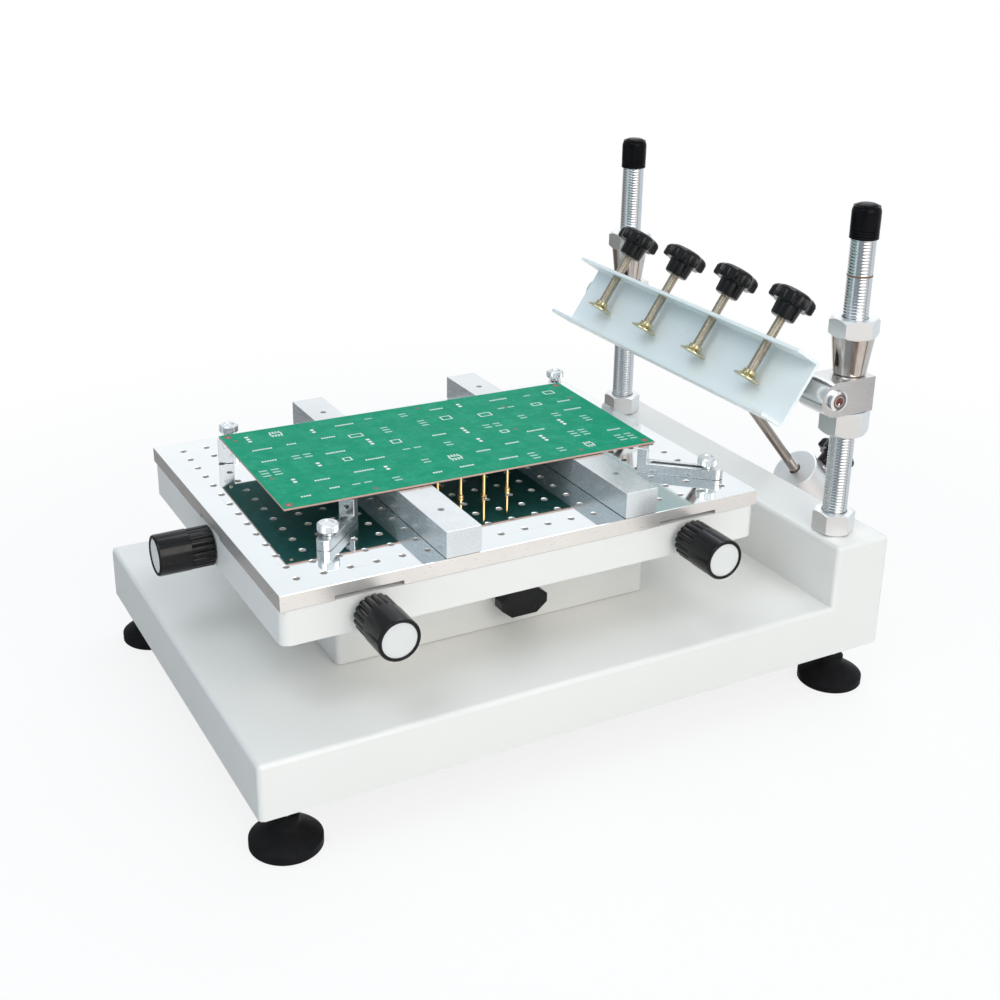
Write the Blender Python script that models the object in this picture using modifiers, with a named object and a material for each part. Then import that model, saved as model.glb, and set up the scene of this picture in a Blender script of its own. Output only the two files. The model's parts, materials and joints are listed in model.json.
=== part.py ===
"""Tabletop screen printing press: a perforated work table on a fine adjusting slide,
with a hinged clamp channel carried by two threaded columns and balanced by a weight.

The table's middle is built at x = 0, y = 0, the floor is z = 0, the operator stands at -Y
and the columns stand at +Y. One empty then carries everything along Y to the middle of
the press's own length.
"""
import math

import bmesh
import bpy

MM = 0.001

# Clearances
GAP = 0.3 * MM
RUNNING = 0.5 * MM
OVERRUN = 1.0 * MM
MERGE = 0.01 * MM

# Perforated work plate, which sets the size of the tray and of the base
PLATE_WIDTH = 300.0 * MM
PLATE_LENGTH = 400.0 * MM
PLATE_THICKNESS = 12.2 * MM
HOLE_PITCH = 20.0 * MM
HOLE_RADIUS = 2.6 * MM
HOLE_MARGIN = 20.0 * MM
HOLE_ROWS = 1 + math.floor((PLATE_WIDTH - 2 * HOLE_MARGIN + MERGE) / HOLE_PITCH)
HOLE_COLUMNS = 1 + math.floor((PLATE_LENGTH - 2 * HOLE_MARGIN + MERGE) / HOLE_PITCH)
HOLE_SIDES = 5
NOTCH_HEIGHT = 4.0 * MM
NOTCH_DEPTH = 9.0 * MM
SIDE_NOTCH_LENGTH = 52.0 * MM
FRONT_NOTCH_LENGTH = 46.0 * MM

# Tray that houses the slides
CASE_SIDE_INSET = 0.5 * MM
CASE_END_INSET = 0.3 * MM
CASE_WIDTH = PLATE_WIDTH - 2 * CASE_SIDE_INSET
CASE_LENGTH = PLATE_LENGTH - 2 * CASE_END_INSET
CASE_HEIGHT = 27.0 * MM
CASE_WALL = 2.5 * MM
CASE_CORNER = 7.0 * MM
SPINDLE_DROP = 13.2 * MM
SIDE_SPINDLE_SHARE = 0.335
SIDE_SPINDLE_Y = SIDE_SPINDLE_SHARE * PLATE_LENGTH

# Folded base with its raised rear beam
BEAM_DEPTH = 54.0 * MM
BASE_SIDE_MARGIN = 38.5 * MM
BASE_FRONT_MARGIN = 34.3 * MM
BEAM_CLEARANCE = 56.8 * MM
BASE_WIDTH = CASE_WIDTH + 2 * BASE_SIDE_MARGIN
BASE_FRONT = CASE_LENGTH / 2 + BASE_FRONT_MARGIN
BASE_BACK = CASE_LENGTH / 2 + BEAM_CLEARANCE + BEAM_DEPTH
BASE_HEIGHT = 44.0 * MM
BEAM_RISE = 54.0 * MM
SHEET = 2.5 * MM
FOLD_RADIUS = 4.0 * MM

# Levelling feet and the corner brackets that hold them
FOOT_GROUND = 40.0 * MM
FOOT_RADIUS = 26.5 * MM
FOOT_RIM = 8.0 * MM
FOOT_HUB_RADIUS = 10.0 * MM
FOOT_HUB_HEIGHT = 25.0 * MM
FOOT_STUD_RADIUS = 5.0 * MM
FOOT_STUD_REACH = 18.0 * MM
FOOT_NUT_RADIUS = 8.5 * MM
FOOT_NUT_HEIGHT = 7.0 * MM
FOOT_INSET_X = 23.0 * MM
FOOT_INSET_FRONT = 26.0 * MM
FOOT_INSET_REAR = 27.5 * MM
FOOT_SOLE_CHAMFER = 1.0 * MM
BRACKET_SIZE = 50.0 * MM
BRACKET_THICKNESS = 3.0 * MM

# Pedestal under the table
PEDESTAL_WIDTH = 182.0 * MM
PEDESTAL_LENGTH = 273.0 * MM
PEDESTAL_HEIGHT = 60.9 * MM

# Slides inside the tray
FEED_BLOCK_WIDTH = 24.0 * MM
FEED_BLOCK_LENGTH = 16.0 * MM
FEED_BLOCK_INSET = 49.7 * MM
FEED_BLOCK_Y = CASE_LENGTH / 2 - FEED_BLOCK_INSET
CROSS_SLIDE_WIDTH = 200.0 * MM
CROSS_SLIDE_CLEAR = 30.0 * MM
CROSS_SLIDE_LENGTH = 2 * (FEED_BLOCK_Y - CROSS_SLIDE_CLEAR)
SLIDE_PLATE = 5.7 * MM
CROSS_LUG_WIDTH = 18.0 * MM
CROSS_LUG_DEPTH = 16.0 * MM
CROSS_BORE_REACH = 50.0 * MM
FEED_SLIDE_WIDTH = 80.0 * MM
FEED_SLIDE_LENGTH = 120.0 * MM
GUIDE_RAIL_WIDTH = 8.0 * MM
GUIDE_RAIL_SHARE = 0.75
GUIDE_RAIL_LENGTH = GUIDE_RAIL_SHARE * CROSS_SLIDE_LENGTH
GUIDE_RAIL_RISE = 5.7 * MM
TONGUE_WIDTH = 50.0 * MM
TONGUE_THICKNESS = 6.0 * MM
TABLE_TRAVEL = 8.0 * MM
SWIVEL_RADIUS = 6.0 * MM
SWIVEL_HEIGHT = 6.0 * MM
DRIVE_PIN_RADIUS = 4.0 * MM

# Adjusting knobs and spindles
SPINDLE_RADIUS = 4.0 * MM
SPINDLE_REACH = 66.0 * MM
BUSH_RADIUS = 7.0 * MM
KNOB_RADIUS = 16.0 * MM
KNOB_LENGTH = 43.0 * MM
SIDE_KNOB_STANDOFF = 6.5 * MM
FRONT_KNOB_STANDOFF = 1.0 * MM
KNOB_FLUTED_LENGTH = 17.0 * MM
KNOB_FLUTES = 9
KNOB_FLUTE_DEPTH = 1.6 * MM
FLUTE_LAND_SHARE = 0.25
FLUTE_FLOOR_SHARE = 0.5
KNOB_GRIP_RADIUS = 15.3 * MM
KNOB_DISC_RADIUS = 13.2 * MM
KNOB_DISC_RECESS = 1.0 * MM
KNOB_EDGE = 1.5 * MM

# Table lock
LOCK_WIDTH = 40.0 * MM
LOCK_HEIGHT = 22.0 * MM
LOCK_THICKNESS = 12.0 * MM
LOCK_HUB_RADIUS = 9.0 * MM
LOCK_HUB_LENGTH = 8.0 * MM
LOCK_STUD_RADIUS = 4.0 * MM
LOCK_STUD_REACH = 22.0 * MM
LOCK_Y = 12.5 * MM
LOCK_DROP = 33.5 * MM
LOCK_FLAT_SHARE = 0.55
LOCK_TIP_SHARE = 0.32

# Support bars across the plate
BAR_WIDTH = 28.0 * MM
BAR_HEIGHT = 20.7 * MM
BAR_EDGE = 0.8 * MM
BAR_HOLE_RADIUS = 2.5 * MM
BAR_HOLE_INSET = 37.0 * MM
FRONT_BAR_SHARE = -0.1525
REAR_BAR_SHARE = 0.225
FRONT_BAR_Y = FRONT_BAR_SHARE * PLATE_LENGTH
REAR_BAR_Y = REAR_BAR_SHARE * PLATE_LENGTH

# Circuit board
BOARD_WIDTH = 160.0 * MM
BOARD_LENGTH = 317.0 * MM
BOARD_THICKNESS = 1.6 * MM
BOARD_X = -10.0 * MM
BOARD_Y = -3.5 * MM
BOARD_TURN = math.radians(-1.44)
BOARD_HOLE_RADIUS = 1.6 * MM
BOARD_HOLE_INSET = 6.0 * MM

# Brass support pins
PIN_RADIUS = 1.4 * MM
PIN_FOOT_RADIUS = 2.6 * MM
PIN_FOOT_HEIGHT = 2.0 * MM
# Each pin's place as shares of the plate's width and length
PIN_PLACE_SHARES = {
    "support_pin_1": (0.163, -0.08),
    "support_pin_2": (0.19, -0.04),
    "support_pin_3": (0.217, 0.0),
    "support_pin_4": (0.203, 0.0575),
}

# Slotted locating arms and their thumb screws
ARM_WIDTH = 12.0 * MM
ARM_THICKNESS = 8.0 * MM
ARM_TAIL = 13.0 * MM
ARM_SLOT_WIDTH = 5.0 * MM
ARM_SLOT_TAIL = 4.0 * MM
POST_DEPTH = 8.0 * MM
POST_HOLE_RADIUS = 2.0 * MM
POST_HOLE_DROP = 6.0 * MM
THUMB_RADIUS = 8.0 * MM
THUMB_HEIGHT = 6.5 * MM
THUMB_NECK_RADIUS = 4.2 * MM
THUMB_NECK_HEIGHT = 2.5 * MM
THUMB_EDGE = 1.0 * MM
THUMB_SHANK_RADIUS = 1.9 * MM
THUMB_SHANK_BITE = 7.0 * MM
FRONT_RIGHT_REACH = 39.0 * MM
REAR_RIGHT_REACH = 52.0 * MM
FRONT_LEFT_REACH = 40.0 * MM
REAR_LEFT_REACH = 49.0 * MM
# Each arm: its corner, the holes between that corner's hole and its screw, its heading, its reach
ARM_PLACES = {
    "front_right": ((1, -1), (2, 2), 135.0, FRONT_RIGHT_REACH),
    "rear_right": ((1, 1), (1, 0), 228.0, REAR_RIGHT_REACH),
    "front_left": ((-1, -1), (0, 2), -22.0, FRONT_LEFT_REACH),
    "rear_left": ((-1, 1), (0, 0), -31.0, REAR_LEFT_REACH),
}

# Threaded columns
COLUMN_INSET = 30.5 * MM
COLUMN_X = BASE_WIDTH / 2 - COLUMN_INSET
COLUMN_FROM_REAR = 34.5 * MM
COLUMN_RADIUS = 10.0 * MM
COLUMN_LENGTH = 300.0 * MM
COLUMN_SUNK = 31.0 * MM
COLUMN_EDGE = 1.0 * MM
NUT_FLATS = 30.0 * MM
NUT_HEIGHT = 18.0 * MM
CAP_WALL = 1.0 * MM
CAP_LENGTH = 27.0 * MM
CAP_TOP = 1.8 * MM
CAP_DOME = 3.0 * MM

# Head blocks, their nuts and the pivot
PIVOT_HEIGHT = 74.3 * MM
PIVOT_AHEAD = 24.0 * MM
BLOCK_WIDTH = 30.0 * MM
BLOCK_HEIGHT = 28.5 * MM
BLOCK_TAIL = 14.0 * MM
PIVOT_BOLT_RADIUS = 5.0 * MM
PIVOT_HEAD_RADIUS = 8.5 * MM
PIVOT_HEAD_HEIGHT = 3.2 * MM
PIVOT_SOCKET_RADIUS = 3.5 * MM
PIVOT_SOCKET_DEPTH = 2.0 * MM
HEAD_NUT_FLATS = 34.6 * MM
LOWER_NUT_HEIGHT = 20.0 * MM
CONE_HEIGHT = 31.0 * MM
CONE_TOP_RADIUS = 17.0 * MM
CONE_FOOT_RADIUS = 13.0 * MM
COLLAR_HEIGHT = 15.0 * MM

# Hinged clamp channel, in its closed pose about the pivot
RAISED_ANGLE = math.radians(33.8)
CHANNEL_LENGTH = 2 * COLUMN_X
CHANNEL_HEIGHT = 59.0 * MM
CHANNEL_DEPTH = 27.0 * MM
CHANNEL_WALL = 3.0 * MM
CHANNEL_AHEAD = 20.2 * MM
CHANNEL_BELOW = 40.0 * MM
LUG_THICKNESS = 10.0 * MM
LUG_RADIUS = 12.5 * MM

# Clamp screws
CLAMP_COUNT = 4
CLAMP_PITCH = 73.0 * MM
CLAMP_STEM_RADIUS = 4.0 * MM
CLAMP_LIFT = 22.0 * MM
PAD_RADIUS = 11.6 * MM
PAD_EDGE = 1.2 * MM
PAD_DOME = 3.2 * MM
PAD_NECK_RADIUS = 5.8 * MM
PAD_NECK_HEIGHT = 3.0 * MM
PAD_SOCKET_DEPTH = 3.5 * MM
CLAMP_STEM_LENGTH = 51.0 * MM
STAR_RADIUS = 19.5 * MM
STAR_LOBES = 8
STAR_LOBE_DEPTH = 3.2 * MM
STAR_POINTS_PER_LOBE = 3
STAR_HEIGHT = 13.0 * MM
STAR_HUB_HEIGHT = 12.0 * MM
STAR_HUB_TOP_RADIUS = 11.0 * MM
STAR_HUB_FOOT_RADIUS = 10.5 * MM
STAR_DOME = 3.0 * MM

# Balance weight on its rod
BALANCE_SLOPE = math.radians(16.9)
BALANCE_ROD_RADIUS = 4.5 * MM
BALANCE_ROD_REACH = 258.0 * MM
BALANCE_BOSS_RADIUS = 9.0 * MM
BALANCE_BOSS_LENGTH = 12.0 * MM
BALANCE_SOCKET_DEPTH = 8.0 * MM
WEIGHT_RADIUS = 22.5 * MM
WEIGHT_LENGTH = 55.0 * MM
WEIGHT_NEAR = 185.0 * MM
WEIGHT_EDGE = 2.0 * MM
WEIGHT_STUD_RADIUS = 3.0 * MM
WEIGHT_KNOB_LIFT = 3.0 * MM

# Counts of sides on round pieces
FINE_SIDES = 18
ROUND_SIDES = 14
KNOB_SIDES = 14
FOOT_SIDES = 10
SMALL_SIDES = 10
THUMB_SIDES = 8
TINY_SIDES = 8
HOLE_IN_BOARD_SIDES = 6

# Levels that the sizes above lead to
BASE_TOP = FOOT_GROUND + BASE_HEIGHT
BEAM_TOP = BASE_TOP + BEAM_RISE
PEDESTAL_BOTTOM = BASE_TOP + GAP
PEDESTAL_TOP = PEDESTAL_BOTTOM + PEDESTAL_HEIGHT
CASE_BOTTOM = PEDESTAL_TOP + GAP
CASE_TOP = CASE_BOTTOM + CASE_HEIGHT
PLATE_BOTTOM = CASE_TOP + GAP
PLATE_TOP = PLATE_BOTTOM + PLATE_THICKNESS
BAR_BOTTOM = PLATE_TOP + GAP
BAR_TOP = BAR_BOTTOM + BAR_HEIGHT
BOARD_BOTTOM = BAR_TOP + GAP
SPINDLE_Z = CASE_TOP - SPINDLE_DROP
CASE_FLOOR = CASE_BOTTOM + CASE_WALL
CROSS_BOTTOM = CASE_FLOOR + GAP
CROSS_TOP = CROSS_BOTTOM + SLIDE_PLATE
FEED_BOTTOM = CROSS_TOP + GAP
COLUMN_Y = BASE_BACK - COLUMN_FROM_REAR
COLUMN_BOTTOM = BEAM_TOP - COLUMN_SUNK
COLUMN_TOP = COLUMN_BOTTOM + COLUMN_LENGTH
PIVOT_Y = COLUMN_Y - PIVOT_AHEAD
PIVOT_Z = PLATE_TOP + PIVOT_HEIGHT
BLOCK_BOTTOM = PIVOT_Z - BLOCK_HEIGHT / 2
BLOCK_TOP = PIVOT_Z + BLOCK_HEIGHT / 2
BLOCK_INNER_X = COLUMN_X - BLOCK_WIDTH / 2
BLOCK_OUTER_X = COLUMN_X + BLOCK_WIDTH / 2
CHANNEL_FLOOR = CHANNEL_WALL - CHANNEL_BELOW
CHANNEL_CEILING = CHANNEL_HEIGHT - CHANNEL_BELOW
CLAMP_AHEAD = -CHANNEL_AHEAD - (CHANNEL_DEPTH + CHANNEL_WALL) / 2
WEIGHT_MIDDLE = WEIGHT_NEAR + WEIGHT_LENGTH / 2
STAR_SEAT = WEIGHT_RADIUS + WEIGHT_KNOB_LIFT

# The middle of the press's length, which becomes the frame's origin
RAISED_SLOPE = RAISED_ANGLE + BALANCE_SLOPE
KNOB_FACE_Y = CASE_LENGTH / 2 + FRONT_KNOB_STANDOFF + KNOB_LENGTH
STAR_TOP = STAR_SEAT + STAR_HUB_HEIGHT + STAR_HEIGHT
REAR_REACH = PIVOT_Y + (WEIGHT_MIDDLE + STAR_RADIUS) * math.cos(RAISED_SLOPE)
REAR_REACH += (STAR_TOP - STAR_DOME) * math.sin(RAISED_SLOPE)
PLAN_Y = (REAR_REACH - KNOB_FACE_Y) / 2


def clear_scene():
    """Remove every object that the scene starts with."""
    for obj in list(bpy.data.objects):
        bpy.data.objects.remove(obj, do_unlink=True)


def new_collection(name):
    """Make a collection under the scene's own."""
    collection = bpy.data.collections.new(name)
    bpy.context.scene.collection.children.link(collection)
    return collection


def make_material(name, colour, roughness, metallic):
    """A Principled material with a base colour, roughness and metallic value."""
    material = bpy.data.materials.new(name)
    material.use_nodes = True
    shader = material.node_tree.nodes["Principled BSDF"]
    shader.inputs["Base Color"].default_value = (*colour, 1.0)
    shader.inputs["Roughness"].default_value = roughness
    shader.inputs["Metallic"].default_value = metallic
    material.diffuse_color = (*colour, 1.0)
    return material


class Press:
    """Collections, materials and parents that every piece is linked to."""

    def __init__(self):
        self.parts = new_collection("screen_printing_press")
        self.cutters = new_collection("cutters")
        self.paint = make_material("cream_paint", (0.86, 0.84, 0.79), 0.35, 0.0)
        self.channel_paint = make_material("pale_green_paint", (0.80, 0.85, 0.84), 0.35, 0.0)
        self.plate = make_material("polished_aluminium", (0.86, 0.88, 0.90), 0.15, 1.0)
        self.aluminium = make_material("milled_aluminium", (0.80, 0.81, 0.82), 0.3, 1.0)
        self.chrome = make_material("bright_chrome", (0.85, 0.86, 0.87), 0.12, 1.0)
        self.steel = make_material("machined_steel", (0.60, 0.60, 0.60), 0.4, 1.0)
        self.dark_steel = make_material("blackened_steel", (0.05, 0.05, 0.055), 0.4, 1.0)
        self.zinc = make_material("yellow_zinc", (0.66, 0.60, 0.42), 0.3, 1.0)
        self.brass = make_material("brass", (0.80, 0.60, 0.30), 0.3, 1.0)
        self.black = make_material("black_plastic", (0.02, 0.02, 0.022), 0.35, 0.0)
        self.rubber = make_material("black_rubber", (0.03, 0.03, 0.03), 0.7, 0.0)
        self.board = make_material("green_board", (0.03, 0.33, 0.20), 0.35, 0.0)
        self.frame = self.axis_empty("press_frame", (0, -PLAN_Y, 0), None)
        self.tilt = self.axis_empty("clamp_axis", (0, PIVOT_Y, PIVOT_Z), self.frame)
        self.tilt.rotation_euler.x = -RAISED_ANGLE
        self.balance = self.axis_empty("balance_axis", (0, 0, 0), self.tilt)
        self.balance.rotation_euler.x = -BALANCE_SLOPE - math.pi / 2

    def axis_empty(self, name, place, parent):
        """An empty that carries the pieces placed about one axis."""
        empty = bpy.data.objects.new(name, None)
        empty.location = place
        empty.parent = parent
        self.parts.objects.link(empty)
        return empty

    def add(self, name, mesh, place, parent=None, turn=(0, 0, 0)):
        """Link a mesh as an object at a place under a parent."""
        obj = bpy.data.objects.new(name, mesh)
        obj.location = place
        obj.rotation_euler = turn
        obj.parent = parent or self.frame
        self.parts.objects.link(obj)
        return obj

    def finish(self, obj, material):
        """Give a finished piece its material and shade it."""
        obj.data.materials.clear()
        obj.data.materials.append(material)
        obj.data.shade_smooth()
        obj.data.set_sharp_from_angle(angle=math.radians(30))
        return obj

    def combine(self, target, tool, operation):
        """Cut a tool from a target, or join it to the target."""
        self.parts.objects.unlink(tool)
        self.cutters.objects.link(tool)
        tool.hide_render = True
        tool.display_type = 'WIRE'
        modifier = target.modifiers.new(operation.lower(), 'BOOLEAN')
        modifier.operation = operation
        modifier.solver = 'EXACT'
        modifier.object = tool

    def cut(self, target, tool):
        """Cut a tool's shape out of a target."""
        self.combine(target, tool, 'DIFFERENCE')

    def join(self, target, tool):
        """Join a tool's shape to a target."""
        self.combine(target, tool, 'UNION')

    def box(self, name, size, place, parent=None, turn=(0, 0, 0)):
        """A box of a size about a place."""
        mesh = bpy.data.meshes.new(name)
        shape = bmesh.new()
        bmesh.ops.create_cube(shape, size=1.0)
        bmesh.ops.scale(shape, vec=size, verts=shape.verts)
        shape.to_mesh(mesh)
        shape.free()
        return self.add(name, mesh, place, parent, turn)

    def rod(self, name, radius, start, end, place, parent=None, turn=(0, 0, 0), sides=SMALL_SIDES):
        """A cylinder along its own Z from a start to an end."""
        mesh = bpy.data.meshes.new(name)
        shape = bmesh.new()
        bmesh.ops.create_cone(shape, cap_ends=True, segments=sides, radius1=radius,
                              radius2=radius, depth=end - start)
        bmesh.ops.translate(shape, vec=(0, 0, (start + end) / 2), verts=shape.verts)
        shape.to_mesh(mesh)
        shape.free()
        return self.add(name, mesh, place, parent, turn)

    def turned(self, name, profile, place, parent=None, turn=(0, 0, 0), sides=ROUND_SIDES,
               ring=False):
        """A turned shape: a profile of radius and height, top to bottom, swept about Z."""
        mesh = bpy.data.meshes.new(name)
        points = [(radius, 0, height) for radius, height in profile]
        edges = [(i, i + 1) for i in range(len(points) - 1)]
        if ring:
            edges.append((len(points) - 1, 0))
        mesh.from_pydata(points, edges, [])
        obj = self.add(name, mesh, place, parent, turn)
        screw = obj.modifiers.new("turn", 'SCREW')
        screw.axis = 'Z'
        screw.angle = 2 * math.pi
        screw.steps = sides
        screw.render_steps = sides
        screw.use_merge_vertices = True
        screw.merge_threshold = MERGE
        return obj

    def slab(self, name, outlines, thickness, place, parent=None, turn=(0, 0, 0)):
        """A flat outline, with any holes after it, extruded evenly about its own XY plane."""
        curve = bpy.data.curves.new(name, 'CURVE')
        curve.dimensions = '2D'
        curve.fill_mode = 'BOTH'
        curve.extrude = thickness / 2
        for outline in outlines:
            spline = curve.splines.new('POLY')
            spline.points.add(len(outline) - 1)
            for point, (x, y) in zip(spline.points, outline):
                point.co = (x, y, 0, 1)
            spline.use_cyclic_u = True
        drawn = bpy.data.objects.new(name + "_outline", curve)
        self.parts.objects.link(drawn)
        graph = bpy.context.evaluated_depsgraph_get()
        mesh = bpy.data.meshes.new_from_object(drawn.evaluated_get(graph))
        bpy.data.objects.remove(drawn, do_unlink=True)
        shape = bmesh.new()
        shape.from_mesh(mesh)
        bmesh.ops.remove_doubles(shape, verts=shape.verts, dist=MERGE)
        bmesh.ops.recalc_face_normals(shape, faces=shape.faces)
        shape.to_mesh(mesh)
        shape.free()
        mesh.name = name
        return self.add(name, mesh, place, parent, turn)


def circle(radius, sides, centre=(0, 0), start=0.0):
    """Points of a regular polygon on a circle."""
    step = 2 * math.pi / sides
    angles = [start + i * step for i in range(sides)]
    return [(centre[0] + radius * math.cos(a), centre[1] + radius * math.sin(a)) for a in angles]


def arc(radius, first, last, count, centre=(0, 0)):
    """Points along an arc between two angles."""
    angles = [first + (last - first) * i / (count - 1) for i in range(count)]
    return [(centre[0] + radius * math.cos(a), centre[1] + radius * math.sin(a)) for a in angles]


def rectangle(width, length, centre=(0, 0)):
    """The four corners of a rectangle."""
    x, y = width / 2, length / 2
    return [(centre[0] + i * x, centre[1] + j * y) for i, j in ((-1, -1), (1, -1), (1, 1), (-1, 1))]


def rounded_rectangle(width, length, radius, count=3):
    """A rectangle whose corners are arcs."""
    points = []
    for turn, (i, j) in enumerate(((1, 1), (-1, 1), (-1, -1), (1, -1))):
        centre = (i * (width / 2 - radius), j * (length / 2 - radius))
        first = turn * math.pi / 2
        points += arc(radius, first, first + math.pi / 2, count, centre)
    return points


def hexagon(flats):
    """A hexagon across its flats, with two corners on the X axis."""
    return circle(flats / math.sqrt(3), 6)


def round_edges(obj, radius, segments, chosen):
    """Bevel the mesh edges that a test chooses."""
    shape = bmesh.new()
    shape.from_mesh(obj.data)
    edges = [edge for edge in shape.edges if chosen(edge)]
    bmesh.ops.bevel(shape, geom=edges, offset=radius, segments=segments, profile=0.5,
                    affect='EDGES')
    shape.to_mesh(obj.data)
    shape.free()


def make_base(press):
    """Folded sheet base: a shell open below, with a raised beam along its rear."""
    beam_front = BASE_BACK - BEAM_DEPTH

    def profile(inset, bottom):
        return [
            (inset - BASE_FRONT, bottom),
            (BASE_BACK - inset, bottom),
            (BASE_BACK - inset, BEAM_TOP - inset),
            (beam_front + inset, BEAM_TOP - inset),
            (beam_front + inset, BASE_TOP - inset),
            (inset - BASE_FRONT, BASE_TOP - inset),
        ]

    upright = (math.pi / 2, 0, math.pi / 2)
    base = press.slab("base_pan", [profile(0, FOOT_GROUND)], BASE_WIDTH, (0, 0, 0), turn=upright)

    def outer_fold(edge):
        low = all(abs(v.co.y - FOOT_GROUND) < MERGE for v in edge.verts)
        inner = all(abs(v.co.y - BASE_TOP) < MERGE and v.co.x > beam_front - MERGE
                    for v in edge.verts)
        flat = edge.is_manifold and edge.calc_face_angle() < math.radians(30)
        return not (low or inner or flat)

    round_edges(base, FOLD_RADIUS, 2, outer_fold)
    inside = press.slab("base_inside", [profile(SHEET, FOOT_GROUND - OVERRUN)],
                        BASE_WIDTH - 2 * SHEET, (0, 0, 0), turn=upright)
    press.cut(base, inside)
    for name, x, y in foot_places():
        side_x = math.copysign(1, x)
        side_y = math.copysign(1, y)
        reach = BASE_BACK if y > 0 else BASE_FRONT
        centre = (side_x * (BASE_WIDTH / 2 - SHEET / 2 - BRACKET_SIZE / 2),
                  side_y * (reach - SHEET / 2 - BRACKET_SIZE / 2),
                  FOOT_GROUND + SHEET + BRACKET_THICKNESS / 2)
        plate = press.box(name + "_bracket", (BRACKET_SIZE, BRACKET_SIZE, BRACKET_THICKNESS), centre)
        press.join(base, plate)
        hole = press.rod(name + "_hole", FOOT_STUD_RADIUS + RUNNING, FOOT_GROUND - OVERRUN,
                         FOOT_GROUND + SHEET + BRACKET_THICKNESS + OVERRUN, (x, y, 0))
        press.cut(base, hole)
    for name, x in column_places():
        hole = press.rod(name + "_hole", COLUMN_RADIUS + RUNNING, BEAM_TOP - SHEET - OVERRUN,
                         BEAM_TOP + OVERRUN, (x, COLUMN_Y, 0), sides=ROUND_SIDES)
        press.cut(base, hole)
    press.finish(base, press.paint)


def foot_places():
    """Names and places of the four feet."""
    x = BASE_WIDTH / 2 - FOOT_INSET_X
    front = FOOT_INSET_FRONT - BASE_FRONT
    rear = BASE_BACK - FOOT_INSET_REAR
    return (("foot_front_left", -x, front), ("foot_front_right", x, front),
            ("foot_rear_left", -x, rear), ("foot_rear_right", x, rear))


def column_places():
    """Names and places of the two columns."""
    return (("column_left", -COLUMN_X), ("column_right", COLUMN_X))


def make_feet(press):
    """Levelling feet: a rubber disc, its hub, a lock nut and the threaded stud."""
    nut_top = FOOT_GROUND + SHEET - GAP
    nut_bottom = nut_top - FOOT_NUT_HEIGHT
    stud_top = nut_top + FOOT_STUD_REACH
    profile = [
        (0, stud_top),
        (FOOT_STUD_RADIUS, stud_top),
        (FOOT_STUD_RADIUS, nut_top),
        (FOOT_NUT_RADIUS, nut_top),
        (FOOT_NUT_RADIUS, nut_bottom),
        (FOOT_STUD_RADIUS, nut_bottom),
        (FOOT_STUD_RADIUS, FOOT_HUB_HEIGHT),
        (FOOT_HUB_RADIUS, FOOT_HUB_HEIGHT),
        (FOOT_HUB_RADIUS, (FOOT_HUB_HEIGHT + FOOT_RIM) / 2),
        (FOOT_RADIUS, FOOT_RIM),
        (FOOT_RADIUS, FOOT_SOLE_CHAMFER),
        (FOOT_RADIUS - FOOT_SOLE_CHAMFER, 0),
        (0, 0),
    ]
    for name, x, y in foot_places():
        foot = press.turned(name, profile, (x, y, 0), sides=FOOT_SIDES)
        press.finish(foot, press.rubber)


def make_pedestal(press):
    """Pedestal: a folded box, closed above and open below, that carries the tray."""
    middle = (PEDESTAL_BOTTOM + PEDESTAL_TOP) / 2
    pedestal = press.box("pedestal", (PEDESTAL_WIDTH, PEDESTAL_LENGTH, PEDESTAL_HEIGHT),
                         (0, 0, middle))

    def upright(edge):
        return abs(edge.verts[0].co.z - edge.verts[1].co.z) > PEDESTAL_HEIGHT / 2

    round_edges(pedestal, FOLD_RADIUS, 2, upright)
    inside = press.box("pedestal_inside", (PEDESTAL_WIDTH - 2 * SHEET, PEDESTAL_LENGTH - 2 * SHEET,
                                           PEDESTAL_HEIGHT), (0, 0, middle - SHEET))
    press.cut(pedestal, inside)
    hole = press.rod("lock_hole", LOCK_STUD_RADIUS + RUNNING, PEDESTAL_WIDTH / 2 - SHEET - OVERRUN,
                     PEDESTAL_WIDTH / 2 + OVERRUN, (0, LOCK_Y, lock_height()),
                     turn=(0, math.pi / 2, 0))
    press.cut(pedestal, hole)
    press.finish(pedestal, press.paint)


def lock_height():
    """Height of the table lock's axis."""
    return PEDESTAL_TOP - LOCK_DROP


def make_case(press):
    """Shallow tray with rounded corners that houses the slides."""
    middle = (CASE_BOTTOM + CASE_TOP) / 2
    case = press.slab("table_case", [rounded_rectangle(CASE_WIDTH, CASE_LENGTH, CASE_CORNER)],
                      CASE_HEIGHT, (0, 0, middle))
    inside = press.slab("case_inside", [rounded_rectangle(
        CASE_WIDTH - 2 * CASE_WALL, CASE_LENGTH - 2 * CASE_WALL, CASE_CORNER - CASE_WALL)],
        CASE_HEIGHT, (0, 0, middle + CASE_WALL))
    press.cut(case, inside)
    for name, place, turn in spindle_axes():
        hole = press.rod(name + "_hole", BUSH_RADIUS + RUNNING, -CASE_WALL - OVERRUN, OVERRUN,
                         place, turn=turn, sides=ROUND_SIDES)
        press.cut(case, hole)
    press.finish(case, press.paint)


def spindle_axes():
    """Name, outer wall point and turn of each spindle; its own Z points outwards."""
    side_turn = (0, math.pi / 2, 0)
    front_turn = (math.pi / 2, 0, 0)
    return (
        ("side_knob_front", (CASE_WIDTH / 2, -SIDE_SPINDLE_Y, SPINDLE_Z), side_turn),
        ("side_knob_rear", (CASE_WIDTH / 2, SIDE_SPINDLE_Y, SPINDLE_Z), side_turn),
        ("front_knob", (0, -CASE_LENGTH / 2, SPINDLE_Z), front_turn),
    )


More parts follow.
